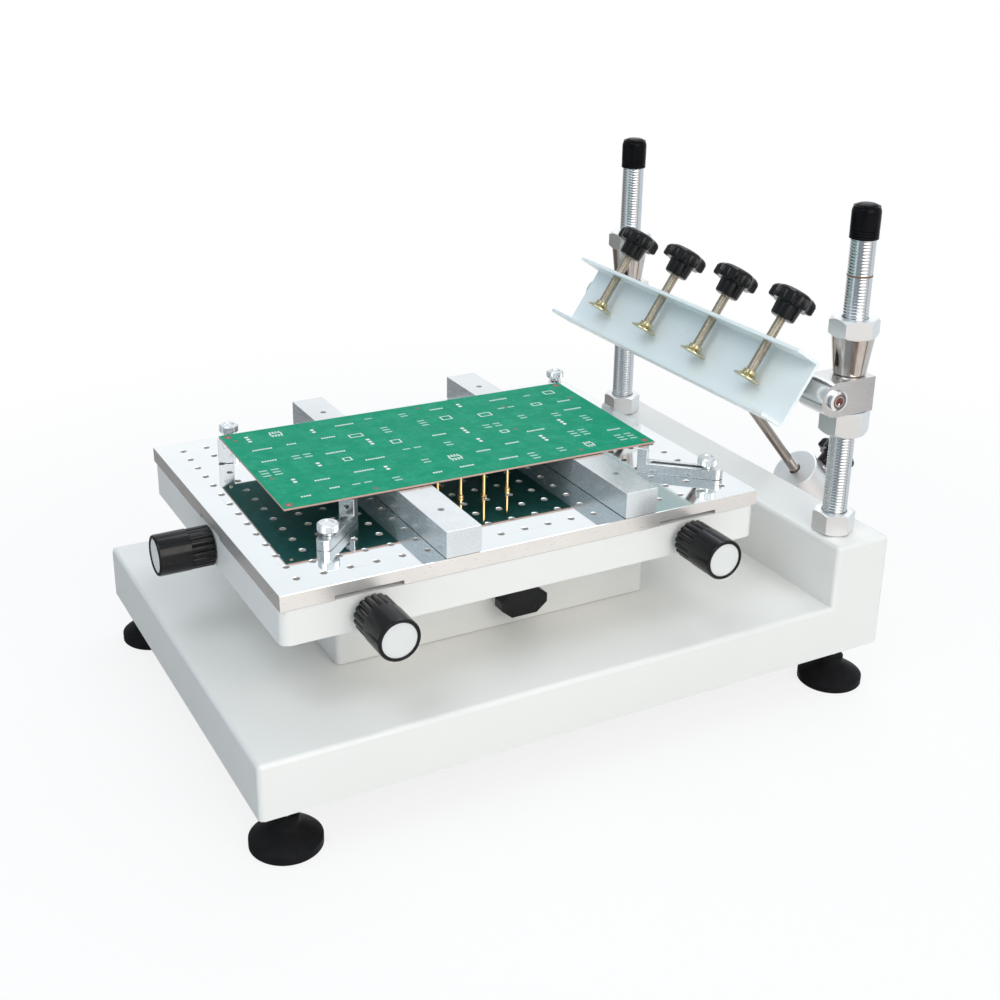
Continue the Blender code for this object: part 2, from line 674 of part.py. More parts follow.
def make_knobs(press):
    """Adjusting knobs, each with its bush and spindle, fluted near the tray."""
    for name, place, turn in spindle_axes():
        inner = FRONT_KNOB_STANDOFF if name == "front_knob" else SIDE_KNOB_STANDOFF
        outer = inner + KNOB_LENGTH
        profile = [
            (0, outer - KNOB_DISC_RECESS),
            (KNOB_DISC_RADIUS, outer - KNOB_DISC_RECESS),
            (KNOB_DISC_RADIUS, outer),
            (KNOB_RADIUS - KNOB_EDGE, outer),
            (KNOB_RADIUS, outer - KNOB_EDGE),
            (KNOB_RADIUS, inner + KNOB_FLUTED_LENGTH),
            (BUSH_RADIUS, inner + KNOB_FLUTED_LENGTH),
            (BUSH_RADIUS, -CASE_WALL),
            (SPINDLE_RADIUS, -CASE_WALL),
            (SPINDLE_RADIUS, -SPINDLE_REACH),
            (0, -SPINDLE_REACH),
        ]
        knob = press.turned(name, profile, place, turn=turn, sides=KNOB_SIDES)
        grip_length = KNOB_FLUTED_LENGTH + OVERRUN
        grip = press.slab(name + "_flutes", [fluted_outline()], grip_length,
                          (0, 0, inner + grip_length / 2), parent=knob)
        press.join(knob, grip)
        press.finish(knob, press.black)


def fluted_outline():
    """Outline of the knob's fluted grip."""
    points = []
    step = 2 * math.pi / KNOB_FLUTES
    low = KNOB_GRIP_RADIUS - KNOB_FLUTE_DEPTH
    for i in range(KNOB_FLUTES):
        for share, radius in ((-FLUTE_LAND_SHARE, KNOB_GRIP_RADIUS), (FLUTE_LAND_SHARE, KNOB_GRIP_RADIUS),
                              (FLUTE_FLOOR_SHARE, low)):
            angle = (i + share) * step
            points.append((radius * math.cos(angle), radius * math.sin(angle)))
    return points


def make_lock(press):
    """Table lock: a winged knob on a stud through the pedestal's wall."""
    flat, tip = LOCK_FLAT_SHARE, LOCK_TIP_SHARE
    wing_shares = ((-1, tip), (-flat, 1), (flat, 1), (1, tip),
                   (1, -tip), (flat, -1), (-flat, -1), (-1, -tip))
    wing = [(x * LOCK_WIDTH / 2, y * LOCK_HEIGHT / 2) for x, y in wing_shares]
    face = (PEDESTAL_WIDTH / 2 + GAP, LOCK_Y, lock_height())
    knob = press.slab("lock_knob", [wing], LOCK_THICKNESS, face, turn=(math.pi / 2, 0, math.pi / 2))
    for vert in knob.data.vertices:
        vert.co.z += LOCK_HUB_LENGTH + LOCK_THICKNESS / 2
    hub = press.rod("lock_hub", LOCK_HUB_RADIUS, 0, LOCK_HUB_LENGTH + OVERRUN, (0, 0, 0), parent=knob)
    stud = press.rod("lock_stud", LOCK_STUD_RADIUS, -LOCK_STUD_REACH, OVERRUN, (0, 0, 0), parent=knob)
    press.join(knob, hub)
    press.join(knob, stud)
    press.finish(knob, press.black)


def make_work_plate(press):
    """Polished plate with its grid of holes, side notches and swivel socket."""
    holes = []
    for row in range(HOLE_ROWS):
        for column in range(HOLE_COLUMNS):
            centre = ((row - (HOLE_ROWS - 1) / 2) * HOLE_PITCH,
                      (column - (HOLE_COLUMNS - 1) / 2) * HOLE_PITCH)
            holes.append(circle(HOLE_RADIUS, HOLE_SIDES, centre))
    outline = rectangle(PLATE_WIDTH, PLATE_LENGTH)
    middle = (PLATE_BOTTOM + PLATE_TOP) / 2
    plate = press.slab("work_plate", [outline] + holes, PLATE_THICKNESS, (0, 0, middle))
    notch_z = PLATE_BOTTOM + (NOTCH_HEIGHT - OVERRUN) / 2
    for sign in (-1, 1):
        notch = press.box("side_notch", (NOTCH_DEPTH, SIDE_NOTCH_LENGTH, NOTCH_HEIGHT + OVERRUN),
                          (PLATE_WIDTH / 2 + OVERRUN - NOTCH_DEPTH / 2,
                           sign * SIDE_SPINDLE_Y, notch_z))
        press.cut(plate, notch)
    notch = press.box("front_notch", (FRONT_NOTCH_LENGTH, NOTCH_DEPTH, NOTCH_HEIGHT + OVERRUN),
                      (0, NOTCH_DEPTH / 2 - OVERRUN - PLATE_LENGTH / 2, notch_z))
    press.cut(plate, notch)
    socket = press.rod("swivel_socket", SWIVEL_RADIUS + RUNNING, -OVERRUN, SWIVEL_HEIGHT + GAP,
                       (0, 0, PLATE_BOTTOM))
    press.cut(plate, socket)
    press.finish(plate, press.plate)


def make_slides(press):
    """Cross slide, feed slide and the front spindle's driving block."""
    cross = press.box("cross_slide", (CROSS_SLIDE_WIDTH, CROSS_SLIDE_LENGTH, SLIDE_PLATE),
                      (0, 0, (CROSS_BOTTOM + CROSS_TOP) / 2))
    lug_length = CROSS_LUG_WIDTH + 2 * SIDE_SPINDLE_Y
    lug_top = SPINDLE_Z + CROSS_LUG_WIDTH / 2
    lug_bottom = CROSS_BOTTOM + SLIDE_PLATE / 2
    lug = press.box("cross_lug", (CROSS_LUG_DEPTH, lug_length, lug_top - lug_bottom),
                    (CROSS_SLIDE_WIDTH / 2, 0, (lug_top + lug_bottom) / 2))
    press.join(cross, lug)
    side_turn = (0, math.pi / 2, 0)
    for sign in (-1, 1):
        rail_x = sign * (FEED_SLIDE_WIDTH / 2 + GAP + GUIDE_RAIL_WIDTH / 2)
        rail_bottom = CROSS_BOTTOM + SLIDE_PLATE / 2
        rail_top = CROSS_TOP + GUIDE_RAIL_RISE
        rail = press.box("guide_rail", (GUIDE_RAIL_WIDTH, GUIDE_RAIL_LENGTH, rail_top - rail_bottom),
                         (rail_x, 0, (rail_top + rail_bottom) / 2))
        press.join(cross, rail)
        bore = press.rod("lug_bore", SPINDLE_RADIUS + RUNNING, -CROSS_BORE_REACH, CROSS_BORE_REACH,
                         (CROSS_SLIDE_WIDTH / 2, sign * SIDE_SPINDLE_Y, SPINDLE_Z), turn=side_turn)
        press.cut(cross, bore)
    press.finish(cross, press.steel)

    feed_top = CASE_TOP
    feed = press.box("feed_slide", (FEED_SLIDE_WIDTH, FEED_SLIDE_LENGTH, feed_top - FEED_BOTTOM),
                     (0, 0, (feed_top + FEED_BOTTOM) / 2))
    slot_reach = TABLE_TRAVEL + DRIVE_PIN_RADIUS + RUNNING
    tongue_end = FEED_BLOCK_Y + DRIVE_PIN_RADIUS + RUNNING + TONGUE_THICKNESS
    tongue_z = feed_top - GAP - TONGUE_THICKNESS / 2
    tongue = press.box("feed_tongue", (TONGUE_WIDTH, tongue_end, TONGUE_THICKNESS),
                       (0, -tongue_end / 2, tongue_z))
    press.join(feed, tongue)
    slot = press.box("feed_slot", (2 * slot_reach, 2 * (DRIVE_PIN_RADIUS + RUNNING),
                                   2 * TONGUE_THICKNESS),
                     (0, -FEED_BLOCK_Y, tongue_z))
    press.cut(feed, slot)
    swivel = press.rod("swivel_boss", SWIVEL_RADIUS, -OVERRUN, SWIVEL_HEIGHT, (0, 0, feed_top))
    press.join(feed, swivel)
    press.finish(feed, press.steel)

    block_top = feed_top - TONGUE_THICKNESS - 2 * GAP
    block_height = 2 * (block_top - SPINDLE_Z)
    block = press.box("feed_block", (FEED_BLOCK_WIDTH, FEED_BLOCK_LENGTH, block_height),
                      (0, -FEED_BLOCK_Y, SPINDLE_Z))
    pin = press.rod("feed_pin", DRIVE_PIN_RADIUS, block_height / 2 - OVERRUN,
                    feed_top - GAP - SPINDLE_Z, (0, -FEED_BLOCK_Y, SPINDLE_Z))
    press.join(block, pin)
    bore = press.rod("feed_bore", SPINDLE_RADIUS + RUNNING, -FEED_BLOCK_LENGTH, FEED_BLOCK_LENGTH,
                     (0, -FEED_BLOCK_Y, SPINDLE_Z), turn=(math.pi / 2, 0, 0))
    press.cut(block, bore)
    press.finish(block, press.steel)


def make_bars(press):
    """Two square bars that carry the board clear of the plate."""
    for name, y in (("support_bar_front", FRONT_BAR_Y), ("support_bar_rear", REAR_BAR_Y)):
        bar = press.box(name, (PLATE_WIDTH, BAR_WIDTH, BAR_HEIGHT),
                        (0, y, (BAR_BOTTOM + BAR_TOP) / 2))
        round_edges(bar, BAR_EDGE, 1, lambda edge: True)
        for sign in (-1, 1):
            hole = press.rod("bar_hole", BAR_HOLE_RADIUS, BAR_BOTTOM - OVERRUN, BAR_TOP + OVERRUN,
                             (sign * (PLATE_WIDTH / 2 - BAR_HOLE_INSET), y, 0), sides=TINY_SIDES)
            press.cut(bar, hole)
        press.finish(bar, press.aluminium)


def make_board(press):
    """Circuit board lying across the bars."""
    holes = []
    for i in (-1, 1):
        for j in (-1, 1):
            centre = (i * (BOARD_WIDTH / 2 - BOARD_HOLE_INSET),
                      j * (BOARD_LENGTH / 2 - BOARD_HOLE_INSET))
            holes.append(circle(BOARD_HOLE_RADIUS, HOLE_IN_BOARD_SIDES, centre))
    board = press.slab("circuit_board", [rectangle(BOARD_WIDTH, BOARD_LENGTH)] + holes,
                       BOARD_THICKNESS, (BOARD_X, BOARD_Y, BOARD_BOTTOM + BOARD_THICKNESS / 2),
                       turn=(0, 0, BOARD_TURN))
    press.finish(board, press.board)


def make_pins(press):
    """Brass pins that hold up the board's middle."""
    height = BOARD_BOTTOM - GAP - PLATE_TOP - GAP
    profile = [
        (0, height),
        (PIN_RADIUS, height),
        (PIN_RADIUS, PIN_FOOT_HEIGHT),
        (PIN_FOOT_RADIUS, PIN_FOOT_HEIGHT),
        (PIN_FOOT_RADIUS, 0),
        (0, 0),
    ]
    for name, (across, along) in PIN_PLACE_SHARES.items():
        place = (across * PLATE_WIDTH, along * PLATE_LENGTH, PLATE_TOP + GAP)
        pin = press.turned(name, profile, place, sides=TINY_SIDES)
        press.finish(pin, press.brass)


def make_arms(press):
    """Slotted arms with an upright post, each held by a thumb screw."""
    head_bottom = ARM_THICKNESS + GAP + THUMB_NECK_HEIGHT
    head_top = head_bottom + THUMB_HEIGHT
    screw_profile = [
        (0, head_top),
        (THUMB_RADIUS - THUMB_EDGE, head_top),
        (THUMB_RADIUS, head_top - THUMB_EDGE),
        (THUMB_RADIUS, head_bottom),
        (THUMB_NECK_RADIUS, head_bottom),
        (THUMB_NECK_RADIUS, ARM_THICKNESS + GAP),
        (THUMB_SHANK_RADIUS, ARM_THICKNESS + GAP),
        (THUMB_SHANK_RADIUS, -THUMB_SHANK_BITE),
        (0, -THUMB_SHANK_BITE),
    ]
    for name, (corner, skipped, heading, reach) in ARM_PLACES.items():
        row = corner[0] * ((HOLE_ROWS - 1) / 2 - skipped[0])
        column = corner[1] * ((HOLE_COLUMNS - 1) / 2 - skipped[1])
        place = (row * HOLE_PITCH, column * HOLE_PITCH, PLATE_TOP + GAP)
        turn = (0, 0, math.radians(heading))
        tip = reach + POST_DEPTH / 2
        bar = arc(ARM_WIDTH / 2, math.pi / 2, 3 * math.pi / 2, 6, (ARM_WIDTH / 2 - ARM_TAIL, 0))
        bar += [(tip, -ARM_WIDTH / 2), (tip, ARM_WIDTH / 2)]
        slot_end = reach - POST_DEPTH
        slot = arc(ARM_SLOT_WIDTH / 2, math.pi / 2, 3 * math.pi / 2, 4, (ARM_SLOT_TAIL - ARM_WIDTH / 2, 0))
        slot += arc(ARM_SLOT_WIDTH / 2, -math.pi / 2, math.pi / 2, 4, (slot_end, 0))
        arm = press.slab("locating_arm_" + name, [bar, slot], ARM_THICKNESS, place, turn=turn)
        for vert in arm.data.vertices:
            vert.co.z += ARM_THICKNESS / 2
        post_height = BOARD_BOTTOM - GAP - PLATE_TOP - GAP
        post = press.box("post", (POST_DEPTH, ARM_WIDTH, post_height),
                         (reach, 0, post_height / 2), parent=arm)
        press.join(arm, post)
        hole = press.rod("post_hole", POST_HOLE_RADIUS, -POST_DEPTH, POST_DEPTH,
                         (reach, 0, post_height - POST_HOLE_DROP), parent=arm,
                         turn=(0, math.pi / 2, 0), sides=TINY_SIDES)
        press.cut(arm, hole)
        press.finish(arm, press.aluminium)
        screw = press.turned("thumb_screw_" + name, screw_profile, place, sides=THUMB_SIDES)
        press.finish(screw, press.chrome)


def make_columns(press):
    """Threaded columns, their nuts above and below the beam's sheet, and their caps."""
    bore = COLUMN_RADIUS + GAP
    profile = [
        (0, COLUMN_TOP),
        (COLUMN_RADIUS - COLUMN_EDGE, COLUMN_TOP),
        (COLUMN_RADIUS, COLUMN_TOP - COLUMN_EDGE),
        (COLUMN_RADIUS, COLUMN_BOTTOM + COLUMN_EDGE),
        (COLUMN_RADIUS - COLUMN_EDGE, COLUMN_BOTTOM),
        (0, COLUMN_BOTTOM),
    ]
    cap_outer = bore + CAP_WALL
    cap_bottom = COLUMN_TOP + GAP + CAP_TOP - CAP_LENGTH
    cap_top = cap_bottom + CAP_LENGTH
    dome = arc(CAP_DOME, math.pi / 2, 0, 3, (cap_outer - CAP_DOME, cap_top - CAP_DOME))
    cap_profile = [(0, cap_top)] + dome + [
        (cap_outer, cap_bottom),
        (bore, cap_bottom),
        (bore, cap_top - CAP_TOP),
        (0, cap_top - CAP_TOP),
    ]
    for name, x in column_places():
        side = name.removeprefix("column_")
        column = press.turned(name, profile, (x, COLUMN_Y, 0))
        press.finish(column, press.chrome)
        rings = [hexagon(NUT_FLATS), circle(bore + GAP, ROUND_SIDES)]
        nut = press.slab("base_nut_" + side, rings, NUT_HEIGHT,
                         (x, COLUMN_Y, BEAM_TOP + GAP + NUT_HEIGHT / 2))
        press.finish(nut, press.chrome)
        under = press.slab("under_nut_" + side, rings, NUT_HEIGHT,
                           (x, COLUMN_Y, BEAM_TOP - SHEET - GAP - NUT_HEIGHT / 2))
        press.finish(under, press.chrome)
        cap = press.turned("column_cap_" + side, cap_profile, (x, COLUMN_Y, 0), sides=KNOB_SIDES)
        press.finish(cap, press.black)


def make_head(press):
    """Head blocks on the columns, with the nuts that carry and lock them."""
    bore = COLUMN_RADIUS + RUNNING
    upright = (math.pi / 2, 0, math.pi / 2)
    nose = BLOCK_HEIGHT / 2
    tail = PIVOT_AHEAD + BLOCK_TAIL
    side_view = arc(nose, math.pi / 2, 3 * math.pi / 2, 9)
    side_view += [(tail, -nose), (tail, nose)]
    bolt_hole = circle(PIVOT_BOLT_RADIUS + RUNNING, ROUND_SIDES)
    cone_bottom = BLOCK_TOP + GAP
    collar_bottom = cone_bottom + CONE_HEIGHT
    for name, x in column_places():
        side = name.removeprefix("column_")
        block = press.slab("hinge_block_" + side, [side_view, bolt_hole], BLOCK_WIDTH,
                           (x, PIVOT_Y, PIVOT_Z), turn=upright)
        hole = press.rod("column_bore", bore, BLOCK_BOTTOM - OVERRUN, BLOCK_TOP + OVERRUN,
                         (x, COLUMN_Y, 0), sides=ROUND_SIDES)
        press.cut(block, hole)
        press.finish(block, press.aluminium)
        rings = [hexagon(HEAD_NUT_FLATS), circle(bore, ROUND_SIDES)]
        lower = press.slab("lower_nut_" + side, rings, LOWER_NUT_HEIGHT,
                           (x, COLUMN_Y, BLOCK_BOTTOM - GAP - LOWER_NUT_HEIGHT / 2))
        press.finish(lower, press.chrome)
        cone_profile = [
            (CONE_TOP_RADIUS, collar_bottom + COLLAR_HEIGHT / 2),
            (CONE_TOP_RADIUS, collar_bottom),
            (CONE_FOOT_RADIUS, cone_bottom),
            (bore, cone_bottom),
            (bore, collar_bottom + COLLAR_HEIGHT / 2),
        ]
        cone = press.turned("cone_nut_" + side, cone_profile, (x, COLUMN_Y, 0), ring=True)
        collar = press.slab("cone_collar", rings, COLLAR_HEIGHT,
                            (x, COLUMN_Y, collar_bottom + COLLAR_HEIGHT / 2))
        press.join(cone, collar)
        press.finish(cone, press.chrome)


def make_pivot_bolts(press):
    """Pivot bolts through the head blocks into the channel's lugs."""
    face = BLOCK_OUTER_X + GAP
    inner = BLOCK_INNER_X - RUNNING - LUG_THICKNESS
    head = face + PIVOT_HEAD_HEIGHT
    profile = [
        (0, head - PIVOT_SOCKET_DEPTH),
        (PIVOT_SOCKET_RADIUS, head - PIVOT_SOCKET_DEPTH),
        (PIVOT_SOCKET_RADIUS, head),
        (PIVOT_HEAD_RADIUS - THUMB_EDGE, head),
        (PIVOT_HEAD_RADIUS, head - THUMB_EDGE),
        (PIVOT_HEAD_RADIUS, face),
        (PIVOT_BOLT_RADIUS, face),
        (PIVOT_BOLT_RADIUS, inner),
        (0, inner),
    ]
    for side, turn in (("left", -math.pi / 2), ("right", math.pi / 2)):
        bolt = press.turned("pivot_bolt_" + side, profile, (0, PIVOT_Y, PIVOT_Z),
                            turn=(0, turn, 0), sides=SMALL_SIDES)
        press.finish(bolt, press.chrome)


def make_channel(press):
    """C channel that grips the stencil frame, with the socket of its balance rod."""
    back = -CHANNEL_AHEAD
    front = back - CHANNEL_DEPTH
    low = -CHANNEL_BELOW
    high = low + CHANNEL_HEIGHT
    section = ((front, low), (back, low), (back, high), (front, high))
    half = CHANNEL_LENGTH / 2
    mesh = bpy.data.meshes.new("clamp_channel")
    points = [(x, y, z) for x in (-half, half) for y, z in section]
    faces = [(i, i + 1, i + 5, i + 4) for i in range(3)]
    mesh.from_pydata(points, [], faces)
    channel = press.add("clamp_channel", mesh, (0, 0, 0), press.tilt)
    wall = channel.modifiers.new("wall", 'SOLIDIFY')
    wall.thickness = CHANNEL_WALL
    wall.offset = -1.0
    wall.use_even_offset = True
    root = -CHANNEL_AHEAD / math.cos(BALANCE_SLOPE)
    boss = press.rod("balance_boss", BALANCE_BOSS_RADIUS, root - CHANNEL_WALL / 2,
                     root + BALANCE_BOSS_LENGTH, (0, 0, 0), press.balance)
    press.join(channel, boss)
    mouth = root + BALANCE_BOSS_LENGTH
    socket = press.rod("balance_socket", BALANCE_ROD_RADIUS + GAP, mouth - BALANCE_SOCKET_DEPTH,
                       mouth + OVERRUN, (0, 0, 0), press.balance)
    press.cut(channel, socket)
    for x in clamp_places():
        hole = press.rod("clamp_hole", CLAMP_STEM_RADIUS + RUNNING, high - CHANNEL_WALL - OVERRUN,
                         high + OVERRUN, (x, CLAMP_AHEAD, 0), press.tilt)
        press.cut(channel, hole)
    press.finish(channel, press.channel_paint)


def make_lugs(press):
    """Hinge lugs behind the channel, each on its pivot bolt."""
    lug_x = BLOCK_INNER_X - RUNNING - LUG_THICKNESS / 2
    front = GAP - CHANNEL_AHEAD
    outline = arc(LUG_RADIUS, -math.pi / 2, math.pi / 2, 9)
    outline += [(front, LUG_RADIUS), (front, -LUG_RADIUS)]
    bolt_hole = circle(PIVOT_BOLT_RADIUS + RUNNING, SMALL_SIDES)
    for side, sign in (("left", -1), ("right", 1)):
        lug = press.slab("hinge_lug_" + side, [outline, bolt_hole], LUG_THICKNESS,
                         (sign * lug_x, 0, 0), press.tilt, (math.pi / 2, 0, math.pi / 2))
        press.finish(lug, press.dark_steel)


def clamp_places():
    """Places of the clamp screws along the channel."""
    return [(i - (CLAMP_COUNT - 1) / 2) * CLAMP_PITCH for i in range(CLAMP_COUNT)]


def star_outline():
    """Outline of a lobed knob."""
    count = STAR_LOBES * STAR_POINTS_PER_LOBE
    middle = STAR_RADIUS - STAR_LOBE_DEPTH / 2
    points = []
    for i in range(count):
        angle = 2 * math.pi * i / count
        radius = middle + STAR_LOBE_DEPTH / 2 * math.cos(STAR_LOBES * angle)
        points.append((radius * math.cos(angle), radius * math.sin(angle)))
    return points


def make_star_knob(press, name, stem_radius, stem_end, seat, place, parent):
    """A lobed knob whose hub starts at a seat height, on a stem that ends lower down."""
    top = seat + STAR_HUB_HEIGHT
    profile = [
        (0, top + STAR_DOME),
        (STAR_HUB_TOP_RADIUS, top + STAR_DOME),
        (STAR_HUB_TOP_RADIUS, top),
        (STAR_HUB_FOOT_RADIUS, seat),
        (stem_radius, seat),
        (stem_radius, stem_end),
        (0, stem_end),
    ]
    knob = press.turned(name, profile, place, parent, sides=SMALL_SIDES)
    head = press.slab(name + "_head", [star_outline()], STAR_HEIGHT,
                      (0, 0, top + STAR_HEIGHT / 2), parent=knob)
    for vert in head.data.vertices:
        if vert.co.z > 0:
            vert.co.xy *= (STAR_RADIUS - STAR_DOME) / STAR_RADIUS
    press.join(knob, head)
    return knob


def make_clamp_screws(press):
    """Clamp screws with their star knobs, and the pads that they press down."""
    pad_bottom = CHANNEL_FLOOR + CLAMP_LIFT - CHANNEL_WALL
    neck_bottom = pad_bottom + PAD_EDGE + PAD_DOME
    neck_top = neck_bottom + PAD_NECK_HEIGHT
    socket_bottom = neck_top - PAD_SOCKET_DEPTH
    pad_profile = [
        (0, socket_bottom),
        (CLAMP_STEM_RADIUS + GAP, socket_bottom),
        (CLAMP_STEM_RADIUS + GAP, neck_top),
        (PAD_NECK_RADIUS, neck_top),
        (PAD_NECK_RADIUS, neck_bottom),
        (PAD_RADIUS, pad_bottom + PAD_EDGE),
        (PAD_RADIUS, pad_bottom),
        (0, pad_bottom),
    ]
    stem_end = socket_bottom + GAP
    for index, x in enumerate(clamp_places(), start=1):
        place = (x, CLAMP_AHEAD, 0)
        pad = press.turned(f"clamp_pad_{index}", pad_profile, place, press.tilt, sides=SMALL_SIDES)
        press.finish(pad, press.zinc)
        knob = make_star_knob(press, f"clamp_screw_{index}", CLAMP_STEM_RADIUS, stem_end,
                              stem_end + CLAMP_STEM_LENGTH, place, press.tilt)
        press.finish(knob, press.black)


def make_balance(press):
    """Balance rod behind the channel, with its sliding weight and lock knob."""
    root = -CHANNEL_AHEAD / math.cos(BALANCE_SLOPE)
    rod_end = root + BALANCE_BOSS_LENGTH - BALANCE_SOCKET_DEPTH + GAP
    rod = press.rod("balance_rod", BALANCE_ROD_RADIUS, rod_end, BALANCE_ROD_REACH, (0, 0, 0),
                    press.balance)
    press.finish(rod, press.chrome)
    bore = BALANCE_ROD_RADIUS + RUNNING
    half = WEIGHT_LENGTH / 2
    profile = [
        (WEIGHT_RADIUS - WEIGHT_EDGE, half),
        (WEIGHT_RADIUS, half - WEIGHT_EDGE),
        (WEIGHT_RADIUS, WEIGHT_EDGE - half),
        (WEIGHT_RADIUS - WEIGHT_EDGE, -half),
        (bore, -half),
        (bore, half),
    ]
    weight = press.turned("balance_weight", profile, (0, 0, WEIGHT_MIDDLE), press.balance,
                          sides=FINE_SIDES, ring=True)
    outwards = (math.pi / 2, 0, 0)
    hole = press.rod("weight_stud_hole", WEIGHT_STUD_RADIUS + GAP, 0, WEIGHT_RADIUS + OVERRUN,
                     (0, 0, WEIGHT_MIDDLE), press.balance, outwards)
    press.cut(weight, hole)
    press.finish(weight, press.chrome)
    axis = press.axis_empty("weight_knob_axis", (0, 0, WEIGHT_MIDDLE), press.balance)
    axis.rotation_euler = outwards
    knob = make_star_knob(press, "weight_knob", WEIGHT_STUD_RADIUS, bore + GAP, STAR_SEAT,
                          (0, 0, 0), axis)
    press.finish(knob, press.black)


def main():
    """Build the whole press."""
    clear_scene()
    press = Press()
    make_base(press)
    make_feet(press)
    make_pedestal(press)
    make_case(press)
    make_slides(press)
    make_knobs(press)
    make_lock(press)
    make_work_plate(press)
    make_bars(press)
    make_board(press)
    make_pins(press)
    make_arms(press)
    make_columns(press)
    make_head(press)
    make_pivot_bolts(press)
    make_channel(press)
    make_lugs(press)
    make_clamp_screws(press)
    make_balance(press)


main()
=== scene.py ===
"""Tabletop screen printing press: its pieces, finishes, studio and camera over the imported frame."""
import json
import logging
import math
import random
from abc import ABC, abstractmethod
from dataclasses import dataclass
from enum import Enum
from functools import cached_property
from typing import Any, Sequence

import bmesh
import bpy
from mathutils import Matrix, Vector


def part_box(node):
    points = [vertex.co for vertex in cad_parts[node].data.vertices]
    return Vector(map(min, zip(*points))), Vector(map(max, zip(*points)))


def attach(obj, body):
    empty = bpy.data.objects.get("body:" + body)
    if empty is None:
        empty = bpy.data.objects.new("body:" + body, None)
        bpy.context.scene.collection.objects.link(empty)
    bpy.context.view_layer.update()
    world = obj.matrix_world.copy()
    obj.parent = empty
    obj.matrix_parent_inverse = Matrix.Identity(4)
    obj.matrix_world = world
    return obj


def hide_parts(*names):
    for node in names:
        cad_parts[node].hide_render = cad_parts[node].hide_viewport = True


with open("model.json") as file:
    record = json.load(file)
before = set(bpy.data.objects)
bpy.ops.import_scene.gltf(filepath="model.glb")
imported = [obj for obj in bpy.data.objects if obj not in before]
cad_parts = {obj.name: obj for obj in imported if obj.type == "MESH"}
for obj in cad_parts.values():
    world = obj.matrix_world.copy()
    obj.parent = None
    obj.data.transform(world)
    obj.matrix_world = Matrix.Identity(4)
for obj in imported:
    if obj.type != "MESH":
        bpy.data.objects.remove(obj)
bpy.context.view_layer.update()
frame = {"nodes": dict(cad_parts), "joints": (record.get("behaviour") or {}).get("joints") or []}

log = logging.getLogger("press")

MM = 0.001
MERGE = 0.001 * MM
SIDE_KNOB_JOINTS = ("side_knob_front_turn", "side_knob_rear_turn")
UPRIGHT_RISE = 0.5
FLAT_WEIGHT = 100
FLAT_ANGLE = 0.5
EDGE_PROFILE = 0.7
LOBE_POWER = 0.75
# Numbers of sides for rounds of different sizes.
HEXAGON, TINY, SMALL, MODEST, MIDDLE, LARGE, WIDE = 6, 20, 24, 32, 40, 48, 64
# Detail of a noise, from one plain layer up.
PLAIN, FAINT, SOFT, MIXED, RICH = 0.0, 1.0, 2.0, 3.0, 4.0

Pair = tuple[float, float]
Point = Pair
Triple = tuple[float, float, float]
Colour = Triple
Shape = bmesh.types.BMesh
Socket = bpy.types.NodeSocket


class Side(Enum):
    """The two sides of the press, by the sign of X."""

    LEFT = -1
    RIGHT = 1

    @property
    def word(self) -> str:
        """The side's word in the names of nodes and bodies."""
        return self.name.lower()


class Corner(Enum):
    """The four corners of the press, seen from the operator's place."""

    FRONT_LEFT = "front_left"
    FRONT_RIGHT = "front_right"
    REAR_LEFT = "rear_left"
    REAR_RIGHT = "rear_right"


def joint_place(name: str) -> Vector:
    """Point on the axis of a packed joint, in metres."""
    return Vector(next(joint["pos_m"] for joint in frame["joints"] if joint["name"] == name))


def middle_of(node: str) -> Vector:
    """Middle of a CAD node's box, in metres."""
    low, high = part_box(node)
    return (low + high) / 2


def height_of(node: str) -> float:
    """Height of a CAD node's box, in metres."""
    low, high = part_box(node)
    return high.z - low.z


def over(node: str, base: float | None = None) -> Matrix:
    """Place over the middle of a CAD node's box.

    Args:
        node: The node's name.
        base: Height of the place. Without one it is the foot of the box.

    Returns:
        The place.
    """
    centre = middle_of(node)
    return Matrix.Translation((centre.x, centre.y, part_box(node)[0].z if base is None else base))


def about(axis: str, degrees: float) -> Matrix:
    """Turn about an axis, which its letter names."""
    return Matrix.Rotation(math.radians(degrees), 4, axis)


# Shapes

def arc(radius: float, first: float, last: float, count: int, centre: Point = (0.0, 0.0)) -> list[Point]:
    """Points along an arc.

    Args:
        radius: The arc's radius.
        first: Angle of its first point, in degrees.
        last: Angle of its last point, in degrees.
        count: Number of points.
        centre: The arc's centre.

    Returns:
        The points in order.
    """
    angles = [math.radians(first + (last - first) * i / (count - 1)) for i in range(count)]
    return [(centre[0] + radius * math.cos(a), centre[1] + radius * math.sin(a)) for a in angles]


def circle(radius: float, sides: int, centre: Point = (0.0, 0.0)) -> list[Point]:
    """Corners of a regular polygon, by the radius of the circle through them."""
    return arc(radius, 0.0, 360.0 * (sides - 1) / sides, sides, centre)


def rectangle(width: float, length: float, centre: Point = (0.0, 0.0)) -> list[Point]:
    """Corners of a rectangle, by its size along X and Y."""
    x, y = width / 2, length / 2
    return [(centre[0] + i * x, centre[1] + j * y) for i, j in ((-1, -1), (1, -1), (1, 1), (-1, 1))]


def tidy(shape: Shape) -> Shape:
    """Merge a shape's doubles and turn its faces outwards, in place.

    Args:
        shape: The shape.

    Returns:
        The same shape.
    """
    bmesh.ops.remove_doubles(shape, verts=shape.verts, dist=MERGE)
    bmesh.ops.recalc_face_normals(shape, faces=shape.faces)
    return shape


def from_mesh(mesh: bpy.types.Mesh) -> Shape:
    """A shape from a mesh, which is then removed.

    Args:
        mesh: The mesh.

    Returns:
        The shape.
    """
    shape = bmesh.new()
    shape.from_mesh(mesh)
    bpy.data.meshes.remove(mesh)
    return shape


